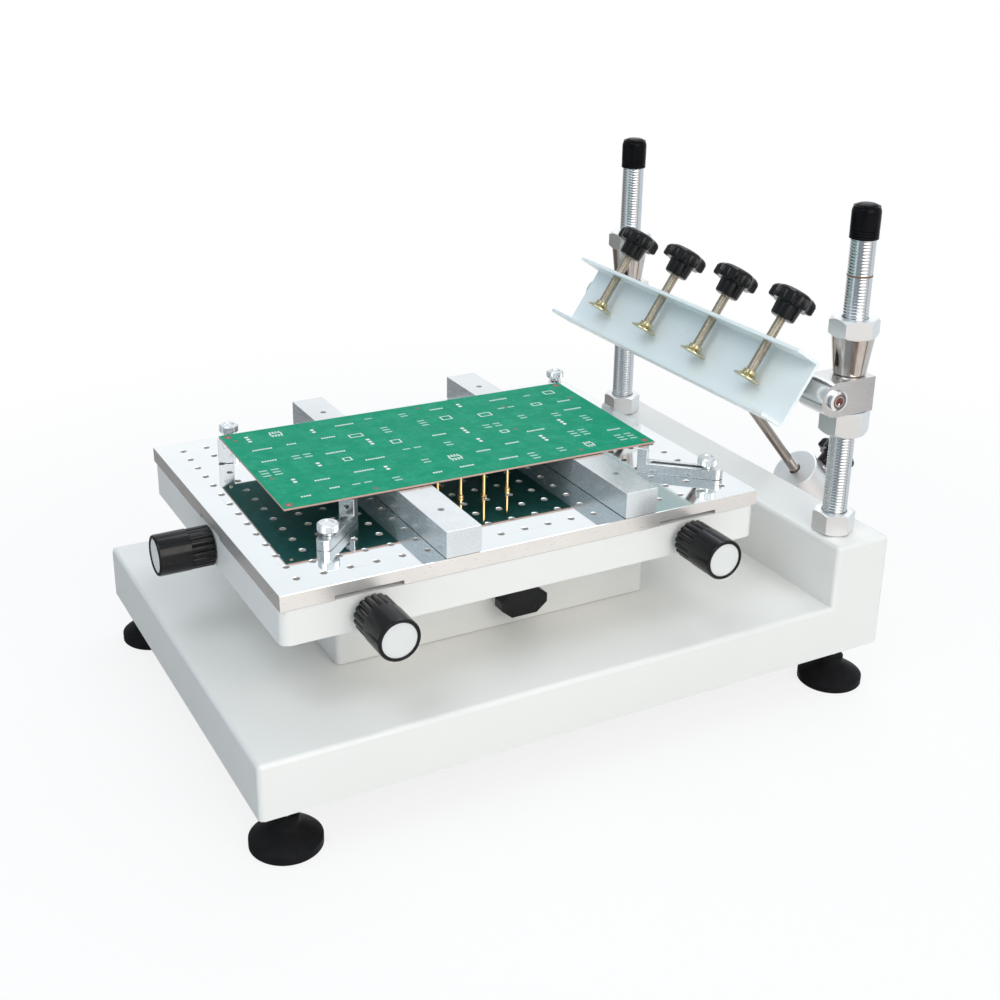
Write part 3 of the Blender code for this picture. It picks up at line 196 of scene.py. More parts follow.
def new_object(name: str, data: bpy.types.ID) -> bpy.types.Object:
    """A new object in the scene, untransformed, with its mesh, curve, camera or light.

    Args:
        name: The object's name.
        data: Its data block.

    Returns:
        The object.
    """
    obj = bpy.data.objects.new(name, data)
    bpy.context.scene.collection.objects.link(obj)
    return obj


def evaluated_mesh(obj: bpy.types.Object) -> bpy.types.Mesh:
    """A new plain mesh of what an object's curve or modifiers make."""
    graph = bpy.context.evaluated_depsgraph_get()
    return bpy.data.meshes.new_from_object(obj.evaluated_get(graph))


def loose_object(name: str, shape: Shape) -> bpy.types.Object:
    """A scene object that takes a shape over and frees it.

    Args:
        name: The object's name.
        shape: The shape.

    Returns:
        The object.
    """
    mesh = bpy.data.meshes.new(name)
    shape.to_mesh(mesh)
    shape.free()
    return new_object(name, mesh)


def discard(*objects: bpy.types.Object) -> None:
    """Remove mesh objects together with their meshes.

    Args:
        objects: The objects.
    """
    for obj in objects:
        mesh = obj.data
        bpy.data.objects.remove(obj)
        bpy.data.meshes.remove(mesh)


def turned(profile: Sequence[Point], sides: int = LARGE, ring: bool = False, lobes: int = 0,
           lobe_depths: Sequence[float] = ()) -> Shape:
    """A shape turned about Z, with lobes where they are asked for.

    Args:
        profile: Radius and height of each level, in order.
        sides: Number of sides.
        ring: True where the profile is a closed loop round a bore.
        lobes: Number of lobes round the axis.
        lobe_depths: Depth of the hollows between the lobes at each level.

    Returns:
        The closed shape.
    """
    shape = bmesh.new()
    levels = []
    for index, (radius, height) in enumerate(profile):
        if radius < MERGE:
            levels.append([shape.verts.new((0, 0, height))])
            continue
        depth = lobe_depths[index] if lobes else 0.0
        level = []
        for i in range(sides):
            angle = 2 * math.pi * i / sides
            reach = radius - depth * (0.5 - 0.5 * math.cos(lobes * angle)) ** LOBE_POWER
            level.append(shape.verts.new((reach * math.cos(angle), reach * math.sin(angle), height)))
        levels.append(level)
    pairs = list(zip(levels, levels[1:]))
    if ring:
        pairs.append((levels[-1], levels[0]))
    for upper, lower in pairs:
        for i in range(sides):
            j = (i + 1) % sides
            corners = [upper[i % len(upper)], lower[i % len(lower)], lower[j % len(lower)],
                       upper[j % len(upper)]]
            distinct = list(dict.fromkeys(corners))
            if len(distinct) > 2:
                shape.faces.new(distinct)
    return tidy(shape)


def slab(outlines: Sequence[Sequence[Point]], bottom: float, top: float,
         chamfer: float = 0.0) -> Shape:
    """A flat outline, with any holes after it, made thick, with broken edges.

    Args:
        outlines: The outer outline and then the holes.
        bottom: Height of the lower face.
        top: Height of the upper face.
        chamfer: Width of the broken edges.

    Returns:
        The closed shape.
    """
    curve = bpy.data.curves.new("outline", 'CURVE')
    curve.dimensions = '2D'
    curve.fill_mode = 'BOTH'
    curve.extrude = (top - bottom) / 2 - chamfer
    curve.bevel_depth = chamfer
    curve.bevel_resolution = 1 if chamfer else 0
    curve.offset = -chamfer
    for outline in outlines:
        spline = curve.splines.new('POLY')
        spline.points.add(len(outline) - 1)
        for point, (x, y) in zip(spline.points, outline):
            point.co = (x, y, 0, 1)
        spline.use_cyclic_u = True
    drawn = new_object("outline", curve)
    shape = from_mesh(evaluated_mesh(drawn))
    bpy.data.objects.remove(drawn)
    bpy.data.curves.remove(curve)
    bmesh.ops.translate(shape, verts=shape.verts, vec=(0, 0, (top + bottom) / 2))
    return tidy(shape)


def block(size: Sequence[float], centre: Sequence[float], chamfer: float = 0.0) -> Shape:
    """A box with broken edges.

    Args:
        size: Sizes along X, Y and Z.
        centre: The box's middle.
        chamfer: Width of the broken edges.

    Returns:
        The closed shape.
    """
    shape = bmesh.new()
    bmesh.ops.create_cube(shape, size=1.0)
    bmesh.ops.scale(shape, verts=shape.verts, vec=size)
    if chamfer:
        bmesh.ops.bevel(shape, geom=shape.edges[:], offset=chamfer, segments=2, profile=EDGE_PROFILE,
                        affect='EDGES')
    bmesh.ops.translate(shape, verts=shape.verts, vec=centre)
    return shape


def moved(shape: Shape, place: Matrix) -> Shape:
    """The shape itself, moved to its place."""
    bmesh.ops.transform(shape, matrix=place, verts=shape.verts)
    return shape


def cad_shape(node: str) -> Shape:
    """A merged copy of a CAD node's mesh, in its place, with its flat faces made whole.

    Args:
        node: The node's name.

    Returns:
        The shape.
    """
    shape = bmesh.new()
    shape.from_mesh(frame["nodes"][node].data)
    bmesh.ops.remove_doubles(shape, verts=shape.verts, dist=MERGE)
    bmesh.ops.dissolve_limit(shape, angle_limit=math.radians(FLAT_ANGLE), verts=shape.verts,
                             edges=shape.edges)
    return shape


def combined(shape: Shape, tools: Sequence[Shape], operation: str = 'DIFFERENCE') -> Shape:
    """Cut tools from a shape, or keep what they share with it.

    Args:
        shape: The shape that is worked.
        tools: The tools, one after another.
        operation: A Boolean modifier's operation.

    Returns:
        The worked shape.
    """
    target = loose_object("worked", shape)
    helpers = [loose_object("tool", tool) for tool in tools]
    for helper in helpers:
        modifier = target.modifiers.new("work", 'BOOLEAN')
        modifier.operation = operation
        modifier.solver = 'EXACT'
        modifier.object = helper
    result = from_mesh(evaluated_mesh(target))
    discard(target, *helpers)
    return result


# Node trees

class Sheet:
    """A node tree, with short calls for the nodes that fill it."""

    def __init__(self, tree: bpy.types.NodeTree) -> None:
        """Take a tree over."""
        self.tree = tree

    def add(self, kind: str, inputs: dict[Any, Any], **settings: Any) -> bpy.types.Node:
        """Add a node.

        Args:
            kind: The node's type.
            inputs: Value or socket for each of its inputs.
            settings: Its other properties.

        Returns:
            The node.
        """
        node = self.tree.nodes.new(kind)
        for key, value in settings.items():
            setattr(node, key, value)
        for key, value in inputs.items():
            if isinstance(value, Socket):
                self.tree.links.new(value, node.inputs[key])
            else:
                node.inputs[key].default_value = value
        return node

    def out(self, kind: str, inputs: dict[Any, Any], **settings: Any) -> Socket:
        """Add a node, as add does, and give its first output."""
        return self.add(kind, inputs, **settings).outputs[0]

    def calc(self, operation: str, *values: Any) -> Socket:
        """Socket of a Math node's result on numbers or sockets."""
        return self.out('ShaderNodeMath', dict(enumerate(values)), operation=operation)

    def spread(self, value: Socket, low: float, high: float, first: float = 0.3, last: float = 0.7,
               course: str = 'LINEAR') -> Socket:
        """Map a value's range on another.

        Args:
            value: The value's socket.
            low: Result at its first value.
            high: Result at its last value.
            first: Its first value.
            last: Its last value.
            course: How the result runs between the two.

        Returns:
            The socket of the result.
        """
        return self.out('ShaderNodeMapRange', {
            "Value": value, "From Min": first, "From Max": last, "To Min": low, "To Max": high},
            interpolation_type=course)

    def blend(self, share: Socket, first: Any, second: Any) -> Socket:
        """Socket of two colours or their sockets, mixed by the second one's share.

        Args:
            share: Socket of the second colour's share.
            first: A colour or its socket.
            second: The other colour or its socket.

        Returns:
            The socket of the mixed colour.
        """
        colours = [value if isinstance(value, Socket) else (*value, 1.0) for value in (first, second)]
        node = self.add('ShaderNodeMix', {"Factor": share, 6: colours[0], 7: colours[1]}, data_type='RGBA')
        return node.outputs[2]


# Geometry node trees

class GrowingTree(Sheet):
    """A geometry node tree with named inputs, which grows plain meshes."""

    SOCKETS = {float: 'NodeSocketFloat', int: 'NodeSocketInt'}

    def __init__(self, name: str, sizes: dict[str, Any]) -> None:
        """Make the tree's interface, with the name and default value of each input.

        Args:
            name: The tree's name.
            sizes: The inputs and their values.
        """
        super().__init__(bpy.data.node_groups.new(name, 'GeometryNodeTree'))
        interface = self.tree.interface
        interface.new_socket("Geometry", in_out='OUTPUT', socket_type='NodeSocketGeometry')
        interface.new_socket("Geometry", in_out='INPUT', socket_type='NodeSocketGeometry')
        self.identifiers = {}
        for label, value in sizes.items():
            socket = interface.new_socket(label, in_out='INPUT', socket_type=self.SOCKETS[type(value)])
            socket.default_value = value
            self.identifiers[label] = socket.identifier
        material = interface.new_socket("Material", in_out='INPUT', socket_type='NodeSocketMaterial')
        self.identifiers["Material"] = material.identifier
        self.source = self.tree.nodes.new('NodeGroupInput')
        self.sink = self.tree.nodes.new('NodeGroupOutput')

    def size(self, label: str) -> Socket:
        """The socket of a named input."""
        return self.source.outputs[label]

    def grid(self, counts: tuple[str, str], steps: tuple[str, str]) -> Socket:
        """Points of a flat grid.

        Args:
            counts: Labels of the inputs that hold the numbers of points along X and Y.
            steps: Labels of the inputs that hold the steps along X and Y.

        Returns:
            The socket of the points.
        """
        spans = [self.calc('MULTIPLY', self.calc('SUBTRACT', self.size(count), 1.0), self.size(step))
                 for count, step in zip(counts, steps)]
        return self.out('GeometryNodeMeshGrid', {
            "Size X": spans[0], "Size Y": spans[1],
            "Vertices X": self.size(counts[0]), "Vertices Y": self.size(counts[1])})

    def repeated(self, points: Socket, instance: Socket) -> Socket:
        """Socket of one instance on each point."""
        return self.out('GeometryNodeInstanceOnPoints', {"Points": points, "Instance": instance})

    def join(self, *parts: Socket) -> Socket:
        """Socket of several geometries in one.

        Args:
            parts: Sockets of the geometries.

        Returns:
            The socket of the whole.
        """
        node = self.add('GeometryNodeJoinGeometry', {})
        for part in parts:
            self.tree.links.new(part, node.inputs[0])
        return node.outputs[0]

    def close(self, geometry: Socket) -> None:
        """End the tree in Realize Instances and Set Material.

        Args:
            geometry: Socket of what the tree grows.
        """
        real = self.out('GeometryNodeRealizeInstances', {"Geometry": geometry})
        dressed = self.out('GeometryNodeSetMaterial', {"Geometry": real, "Material": self.size("Material")})
        self.tree.links.new(dressed, self.sink.inputs[0])

    def grow(self, material: bpy.types.Material, **sizes: Any) -> Shape:
        """Grow one mesh.

        Args:
            material: The material that the tree sets.
            sizes: Values of the inputs, with underscores for spaces.

        Returns:
            The grown shape.
        """
        obj = loose_object("grown", bmesh.new())
        modifier = obj.modifiers.new("grow", 'NODES')
        modifier.node_group = self.tree
        modifier[self.identifiers["Material"]] = material
        for key, value in sizes.items():
            modifier[self.identifiers[key.replace("_", " ")]] = value
        mesh = evaluated_mesh(obj)
        discard(obj)
        return from_mesh(mesh)


class RidgedRodTree(GrowingTree):
    """A rod whose surface carries a screw thread, or straight flutes at no turns a metre."""

    ROWS_PER_TURN = 5
    DEPTH_SHARE = 0.2
    THREAD_SHARPNESS = 1.6
    FLUTE_ROWS = 2

    def __init__(self) -> None:
        """Build the tree: a cylinder whose side follows the ridge's phase."""
        super().__init__("ridged_rod", {
            "Radius": 10 * MM, "Depth": MM, "Length": 100 * MM, "Turns": 0.0, "Starts": 1.0,
            "Sharpness": 1.0, "Sides": 32, "Rows": 8})
        rod = self.out('GeometryNodeMeshCylinder', {
            "Vertices": self.size("Sides"), "Side Segments": self.size("Rows"),
            "Radius": self.size("Radius"), "Depth": self.size("Length")})
        position = self.out('GeometryNodeInputPosition', {})
        x, y, z = self.add('ShaderNodeSeparateXYZ', {0: position}).outputs
        turn = self.calc('DIVIDE', self.calc('ARCTAN2', y, x), 2 * math.pi)
        phase = self.calc('SUBTRACT', self.calc('MULTIPLY', z, self.size("Turns")),
                          self.calc('MULTIPLY', turn, self.size("Starts")))
        share = self.calc('PINGPONG', phase, 0.5)
        valley = self.calc('POWER', self.calc('MULTIPLY', share, 2.0), self.size("Sharpness"))
        hollow = self.calc('DIVIDE', self.calc('MULTIPLY', valley, self.size("Depth")), self.size("Radius"))
        scale = self.calc('SUBTRACT', 1.0, hollow)
        point = self.out('ShaderNodeCombineXYZ', {
            0: self.calc('MULTIPLY', x, scale), 1: self.calc('MULTIPLY', y, scale), 2: z})
        self.close(self.out('GeometryNodeSetPosition', {"Geometry": rod, "Position": point}))

    def standing(self, material: bpy.types.Material, bottom: float, top: float, **sizes: Any) -> Shape:
        """A closed rod between two heights, by the values of the tree's other inputs."""
        shape = self.grow(material, Length=top - bottom, **sizes)
        return moved(shape, Matrix.Translation((0, 0, (bottom + top) / 2)))

    def thread(self, material: bpy.types.Material, radius: float, pitch: float, bottom: float,
               top: float, sides: int = MODEST) -> Shape:
        """A right-hand screw thread about Z.

        Args:
            material: The thread's material.
            radius: Outer radius.
            pitch: Height of one turn.
            bottom: Height of its lower end.
            top: Height of its upper end.
            sides: Number of sides.

        Returns:
            The closed rod.
        """
        rows = round((top - bottom) / pitch * self.ROWS_PER_TURN)
        return self.standing(material, bottom, top, Radius=radius, Depth=self.DEPTH_SHARE * pitch,
                             Turns=1 / pitch, Sharpness=self.THREAD_SHARPNESS, Sides=sides, Rows=rows)

    def flutes(self, material: bpy.types.Material, radius: float, depth: float, count: int,
               bottom: float, top: float, sharpness: float = 1.0, per_flute: int = 8) -> Shape:
        """A rod with straight flutes along Z.

        Args:
            material: The rod's material.
            radius: Outer radius.
            depth: Depth of the flutes.
            count: Number of flutes.
            bottom: Height of its lower end.
            top: Height of its upper end.
            sharpness: Above 1 the lands widen and the flutes narrow.
            per_flute: Number of sides for each flute.

        Returns:
            The closed rod.
        """
        return self.standing(material, bottom, top, Radius=radius, Depth=depth, Starts=float(count),
                             Sharpness=sharpness, Sides=count * per_flute, Rows=self.FLUTE_ROWS)


class PerforatedPlateTree(GrowingTree):
    """A flat plate with a grid of round holes."""

    def __init__(self) -> None:
        """Build the tree: circles on a grid cut the filled outline, which is made thick."""
        super().__init__("perforated_plate", {
            "Width": 300 * MM, "Length": 400 * MM, "Thickness": 12 * MM, "Pitch": 20 * MM,
            "Hole Radius": 2.6 * MM, "Rows": 14, "Columns": 19, "Sides": 20})
        hole = self.out('GeometryNodeCurvePrimitiveCircle', {
            "Resolution": self.size("Sides"), "Radius": self.size("Hole Radius")}, mode='RADIUS')
        holes = self.repeated(self.grid(("Rows", "Columns"), ("Pitch", "Pitch")), hole)
        edge = self.out('GeometryNodeCurvePrimitiveQuadrilateral', {
            "Width": self.size("Width"), "Height": self.size("Length")}, mode='RECTANGLE')
        outlines = self.join(edge, self.out('GeometryNodeRealizeInstances', {"Geometry": holes}))
        sheet = self.out('GeometryNodeFillCurve', {"Curve": outlines})
        thick = self.out('GeometryNodeExtrudeMesh', {
            "Mesh": sheet, "Offset Scale": self.size("Thickness"), "Individual": False})
        whole = self.join(thick, self.out('GeometryNodeFlipFaces', {"Mesh": sheet}))
        self.close(self.out('GeometryNodeMergeByDistance', {"Geometry": whole, "Distance": MERGE}))


class PrintedRowTree(GrowingTree):
    """A grid of small flat marks, such as the pads of one component."""

    def __init__(self) -> None:
        """Build the tree: a box on each point of a grid."""
        super().__init__("printed_row", {
            "Across": 2, "Along": 4, "Step Across": 4 * MM, "Step Along": 2 * MM,
            "Mark Width": MM, "Mark Length": MM, "Mark Height": 0.05 * MM})
        sizes = self.out('ShaderNodeCombineXYZ', {
            0: self.size("Mark Width"), 1: self.size("Mark Length"), 2: self.size("Mark Height")})
        mark = self.out('GeometryNodeMeshCube', {"Size": sizes})
        self.close(self.repeated(self.grid(("Across", "Along"), ("Step Across", "Step Along")), mark))


# Finishes

class NodeSheet(Sheet):
    """A material's node tree, with short calls for the nodes that the finishes share."""

    def __init__(self, name: str) -> None:
        """Start a material with a Principled shader.

        Args:
            name: The material's name.
        """
        self.material = bpy.data.materials.new(name)
        self.material.use_nodes = True
        super().__init__(self.material.node_tree)
        self.shader = self.tree.nodes["Principled BSDF"]
        self.coords = self.tree.nodes.new('ShaderNodeTexCoord').outputs["Object"]

    def noise(self, size: float, detail: float = SOFT, stretch: Sequence[float] = (1, 1, 1)) -> Socket:
        """Socket of noise in the piece's own place, with features of a size in metres."""
        place = self.out('ShaderNodeMapping', {"Vector": self.coords, "Scale": tuple(stretch)})
        return self.out('ShaderNodeTexNoise', {"Vector": place, "Scale": 1 / size, "Detail": detail})

    def relief(self, height: Socket, strength: float, depth: float) -> None:
        """Raise the surface by a height's bump, with its depth in metres."""
        self.connect("Normal", self.out('ShaderNodeBump', {
            "Height": height, "Strength": strength, "Distance": depth}))

    def connect(self, label: str, value: Socket) -> None:
        """Lead a socket to the shader."""
        self.tree.links.new(value, self.shader.inputs[label])

    def constant(self, **values: float) -> None:
        """Set the shader's own sockets, with underscores for spaces."""
        for key, value in values.items():
            self.shader.inputs[key.replace("_", " ")].default_value = value


@dataclass(frozen=True)
class Finish(ABC):
    """A finish, made into one material when it is first used."""

    name: str
    colour: Colour
    slot: str

    @cached_property
    def material(self) -> bpy.types.Material:
        """The finish's material."""
        sheet = NodeSheet(self.name)
        self.paint(sheet)
        sheet.material.diffuse_color = (*self.colour, 1.0)
        return sheet.material

    @abstractmethod
    def paint(self, sheet: NodeSheet) -> None:
        """Lay the finish's nodes."""

    def darker(self, share: float) -> Colour:
        """The finish's colour at a share of its strength."""
        return tuple(part * share for part in self.colour)

    def tinted(self, tint: Colour) -> Colour:
        """The finish's colour with a tint laid over it."""
        return tuple(part * share for part, share in zip(self.colour, tint))


@dataclass(frozen=True)
class PowderCoat(Finish):
    """Powder coat: an even colour that drifts a little, and a faint orange peel."""

    roughness: float = 0.32
    roughness_span: float = 0.05
    cloud_size: float = 25 * MM
    drift_size: float = 90 * MM
    drift: float = 0.98
    peel: float = 1.1 * MM
    peel_depth: float = 0.02 * MM
    peel_strength: float = 0.08
    lacquer: float = 0.2
    lacquer_roughness: float = 0.08

    def paint(self, sheet: NodeSheet) -> None:
        """Lay the coat and its peel.

        Args:
            sheet: The material's node tree.
        """
        drift = sheet.spread(sheet.noise(self.drift_size, PLAIN), 0.0, 1.0)
        sheet.connect("Base Color", sheet.blend(drift, self.colour, self.darker(self.drift)))
        sheet.connect("Roughness", sheet.spread(sheet.noise(self.cloud_size, PLAIN), self.roughness,
                                                self.roughness + self.roughness_span))
        sheet.relief(sheet.noise(self.peel, PLAIN), self.peel_strength, self.peel_depth)
        sheet.constant(Coat_Weight=self.lacquer, Coat_Roughness=self.lacquer_roughness)


@dataclass(frozen=True)
class WorkedMetal(Finish):
    """Milled, ground or brushed metal, with its tool lines along one direction."""

    roughness: float = 0.25
    roughness_span: float = 0.2
    line_size: float = 0.5 * MM
    stretch: Triple = (1.0, 1.0, 1.0)
    line_depth: float = 0.02 * MM
    line_strength: float = 0.25
    cloud_size: float = 30 * MM
    detail: float = MIXED
    contrast: float = 0.08
    metallic: float = 1.0

    def paint(self, sheet: NodeSheet) -> None:
        """Lay the metal, its lines and its cloudy tone.

        Args:
            sheet: The material's node tree.
        """
        lines = sheet.noise(self.line_size, self.detail, self.stretch)
        tone = sheet.spread(sheet.noise(self.cloud_size, self.detail), 0.0, 1.0)
        sheet.connect("Base Color", sheet.blend(tone, self.colour, self.darker(1 - self.contrast)))
        sheet.connect("Roughness", sheet.spread(lines, self.roughness * (1 - self.roughness_span),
                                                self.roughness * (1 + self.roughness_span)))
        sheet.relief(lines, self.line_strength, self.line_depth)
        sheet.constant(Metallic=self.metallic)


@dataclass(frozen=True)
class Plating(Finish):
    """Bright plating, with faint wipe marks in its gloss."""

    roughness: float = 0.06
    tint: Colour = (1.0, 1.0, 1.0)
    wipe_size: float = 3 * MM
    wipe_stretch: Triple = (1.0, 1.0, 0.3)
    wiped: Pair = (0.6, 1.8)

    def paint(self, sheet: NodeSheet) -> None:
        """Lay the plating and its wipe marks.

        Args:
            sheet: The material's node tree.
        """
        wipes = sheet.noise(self.wipe_size, RICH, self.wipe_stretch)
        sheet.connect("Base Color", sheet.blend(sheet.spread(wipes, 0.0, 1.0), self.colour,
                                                self.tinted(self.tint)))
        sheet.connect("Roughness", sheet.spread(wipes, *(self.roughness * share for share in self.wiped)))
        sheet.constant(Metallic=1.0)


@dataclass(frozen=True)
class Moulding(Finish):
    """Moulded plastic or rubber: a fine grain and rubbed, slightly paler patches."""

    roughness: float = 0.3
    roughness_range: Pair = (-0.05, 0.08)
    grain: float = 0.35 * MM
    grain_depth: float = 0.03 * MM
    grain_strength: float = 0.1
    gloss: float = 0.06
    patch_size: float = 9 * MM
    patch_limits: Pair = (0.4, 0.8)
    patch_lift: float = 0.004
    smear_size: float = 4 * MM

    def paint(self, sheet: NodeSheet) -> None:
        """Lay the colour, the grain and the rubbed patches.

        Args:
            sheet: The material's node tree.
        """
        rubbed = sheet.spread(sheet.noise(self.patch_size, RICH), 0.0, 1.0, *self.patch_limits)
        paler = tuple(part + self.patch_lift for part in self.colour)
        sheet.connect("Base Color", sheet.blend(rubbed, self.colour, paler))
        sheet.connect("Roughness", sheet.spread(sheet.noise(self.smear_size, MIXED),
                                                *(self.roughness + step for step in self.roughness_range)))
        sheet.relief(sheet.noise(self.grain, FAINT), self.grain_strength, self.grain_depth)
        sheet.constant(Specular_IOR_Level=self.gloss)


@dataclass(frozen=True)
class SolderMask(Finish):
    """Green solder mask over copper: tracks and ground areas show through in other greens."""

    ground: Colour = (0.007, 0.235, 0.130)
    pale: Colour = (0.080, 0.47, 0.33)
    track: float = 2.6 * MM
    track_length: float = 5.3
    track_width: float = 0.6
    track_gap: float = 0.04
    track_bias: float = -0.1
    track_depth: float = 0.03 * MM
    track_strength: float = 0.2
    patch_size: float = 16 * MM
    patch_limits: Pair = (0.44, 0.56)
    weave_size: float = 1.3 * MM
    weave_stretch: Triple = (1.0, 0.12, 1.0)
    weave_share: float = 0.7
    via_step: float = 4 * MM
    via_share: float = 0.8
    via_limits: Pair = (0.08, 0.14)
    smear_size: float = 6 * MM
    roughness: Pair = (0.34, 0.46)
    gloss: float = 0.03

    def paint(self, sheet: NodeSheet) -> None:
        """Lay the mask, the tracks beneath it and its soft gloss.

        Args:
            sheet: The material's node tree.
        """
        along = sheet.out('ShaderNodeMapping', {"Vector": sheet.coords, "Rotation": (0, 0, math.pi / 2)})
        tracks = sheet.add('ShaderNodeTexBrick', {
            "Vector": along, "Scale": 1 / self.track, "Color1": (*self.colour, 1.0),
            "Color2": (*self.ground, 1.0), "Mortar": (*self.pale, 1.0), "Mortar Size": self.track_gap,
            "Brick Width": self.track_length, "Row Height": self.track_width, "Bias": self.track_bias})
        patches = sheet.spread(sheet.noise(self.patch_size, SOFT), 0.0, 1.0, *self.patch_limits)
        weave = sheet.spread(sheet.noise(self.weave_size, SOFT, self.weave_stretch), 0.0, self.weave_share)
        copper = sheet.blend(patches, tracks.outputs["Color"], sheet.blend(weave, self.colour, self.ground))
        specks = sheet.add('ShaderNodeTexVoronoi', {"Vector": sheet.coords, "Scale": 1 / self.via_step})
        holes = sheet.spread(specks.outputs["Distance"], self.via_share, 0.0, *self.via_limits)
        sheet.connect("Base Color", sheet.blend(holes, copper, self.pale))
        sheet.connect("Roughness", sheet.spread(sheet.noise(self.smear_size, MIXED), *self.roughness))
        sheet.relief(tracks.outputs["Fac"], self.track_strength, self.track_depth)
        sheet.constant(Specular_IOR_Level=self.gloss)


@dataclass(frozen=True)
class Print(Finish):
    """Matt printing ink, a little uneven."""

    roughness: float = 0.6
    cover_size: float = 1.5 * MM
    thinnest: float = 0.85

    def paint(self, sheet: NodeSheet) -> None:
        """Lay the ink.

        Args:
            sheet: The material's node tree.
        """
        cover = sheet.spread(sheet.noise(self.cover_size, MIXED), 0.0, 1.0)
        sheet.connect("Base Color", sheet.blend(cover, self.colour, self.darker(self.thinnest)))
        sheet.constant(Roughness=self.roughness)


CREAM_COAT = PowderCoat("cream_coat", (0.86, 0.85, 0.822), "cream_paint")
CHANNEL_COAT = PowderCoat("channel_coat", (0.90, 0.95, 0.955), "channel_paint", roughness=0.4)
PLATE_METAL = WorkedMetal("plate_metal", (0.95, 0.985, 1.0), "polished_aluminium", roughness=0.05,
                          line_size=0.6 * MM, stretch=(1.0, 0.03, 1.0), line_depth=0.0015 * MM, contrast=0.03)
# Plate edges: the rougher grain is the milled edge; the warmer, darker tone is painted reflection of the
# cream surroundings.
REFLECTION_TONED_EDGE = WorkedMetal("reflection_toned_edge", (0.90, 0.875, 0.85), "polished_aluminium", roughness=0.34,
                         line_size=0.5 * MM, stretch=(0.05, 0.05, 1.0), line_depth=0.004 * MM, contrast=0.05,
                         metallic=0.72)
BAR_METAL = WorkedMetal("bar_metal", (0.84, 0.87, 0.89), "milled_aluminium", roughness=0.24,
                        line_size=0.35 * MM, stretch=(0.05, 1.0, 1.0), line_depth=0.003 * MM)
# Bar sides: a darker, bluer copy of the bar metal, painted shade on the upright faces.
BAR_SHADED_SIDE = WorkedMetal("bar_shaded_side", (0.78, 0.83, 0.86), "milled_aluminium", roughness=0.24,
                       line_size=0.35 * MM, stretch=(0.05, 1.0, 1.0), line_depth=0.003 * MM, metallic=0.6)
BLOCK_METAL = WorkedMetal("block_metal", (0.88, 0.88, 0.88), "milled_aluminium", roughness=0.22,
                          line_size=0.4 * MM, stretch=(1.0, 0.1, 1.0), line_depth=0.004 * MM)
ARM_METAL = WorkedMetal("arm_metal", (0.86, 0.87, 0.88), "milled_aluminium", roughness=0.24,
                        line_size=0.4 * MM, stretch=(0.2, 0.2, 1.0), line_depth=0.001 * MM)
THUMB_METAL = WorkedMetal("thumb_metal", (0.86, 0.88, 0.90), "bright_chrome", roughness=0.24,
                          line_size=0.5 * MM, line_depth=0.002 * MM, metallic=0.75)
NUT_METAL = WorkedMetal("nut_metal", (0.86, 0.86, 0.86), "bright_chrome", roughness=0.42,
                        line_size=0.7 * MM, line_depth=0.008 * MM, contrast=0.05)
# Near black: painted reflection of dark surroundings, which the hinge lugs' metal mirrors.
DARK_REFLECTION_STEEL = WorkedMetal("dark_reflection_steel", (0.05, 0.047, 0.045), "blackened_steel", roughness=0.4)
BARE_STEEL = WorkedMetal("bare_steel", (0.58, 0.58, 0.58), "machined_steel", roughness=0.35)
CHROME = Plating("mirror_chrome", (0.86, 0.87, 0.88), "bright_chrome", tint=(0.95, 0.96, 0.98))
CONE_STEEL = Plating("cone_steel", (0.60, 0.56, 0.53), "bright_chrome", roughness=0.12,
                     tint=(0.9, 0.85, 0.82))
THREAD_STEEL = Plating("thread_steel", (0.66, 0.68, 0.70), "bright_chrome", roughness=0.14,
                       tint=(0.92, 0.93, 0.95))
ROD_STEEL = Plating("rod_steel", (0.36, 0.33, 0.31), "bright_chrome", roughness=0.12, tint=(0.9, 0.85, 0.8))
STEM_ZINC = Plating("stem_zinc", (0.44, 0.39, 0.32), "yellow_zinc", roughness=0.22, tint=(0.95, 0.9, 0.85))
ZINC = Plating("pad_zinc", (0.62, 0.56, 0.38), "yellow_zinc", roughness=0.2, tint=(0.95, 0.88, 0.75))
BRASS = Plating("turned_brass", (0.78, 0.56, 0.26), "brass", roughness=0.2, tint=(1.0, 0.9, 0.8))
BLACK_PLASTIC = Moulding("knob_black", (0.006, 0.006, 0.007), "black_plastic", roughness=0.18, grain=2 * MM,
                         gloss=0.25)
CAP_VINYL = Moulding("cap_vinyl", (0.005, 0.005, 0.006), "black_plastic", roughness=0.18, grain=2 * MM)
RUBBER = Moulding("foot_rubber", (0.010, 0.010, 0.011), "black_rubber", roughness=0.5, grain_strength=0.3)
DISC_WHITE = Moulding("knob_disc", (0.76, 0.765, 0.75), "black_plastic", roughness=0.4)
MASK = SolderMask("solder_mask", (0.006, 0.315, 0.172), "green_board")
# Board underside: a darker copy of the mask, painted shade under the board, which the polished plate mirrors.
SHADED_UNDERSIDE_MASK = SolderMask("shaded_underside_mask", (0.03, 0.13, 0.12), "green_board",
                        ground=(0.02, 0.10, 0.09), pale=(0.05, 0.18, 0.16))
LAMINATE = Print("laminate_edge", (0.66, 0.40, 0.34), "green_board")
SILK = Print("silk_print", (0.82, 0.90, 0.86), "green_board")
PALE_MASK = Print("pale_mask", (0.40, 0.66, 0.56), "green_board")
COPPER_RING = Print("copper_ring", (0.30, 0.08, 0.07), "green_board")
TINNED = Plating("tinned_pads", (0.82, 0.83, 0.81), "green_board", roughness=0.3)
GREASED_RING = Moulding("greased_ring", (0.20, 0.12, 0.07), "bright_chrome", roughness=0.3)
RED_SOCKET = Moulding("red_socket", (0.20, 0.06, 0.045), "bright_chrome", roughness=0.4)


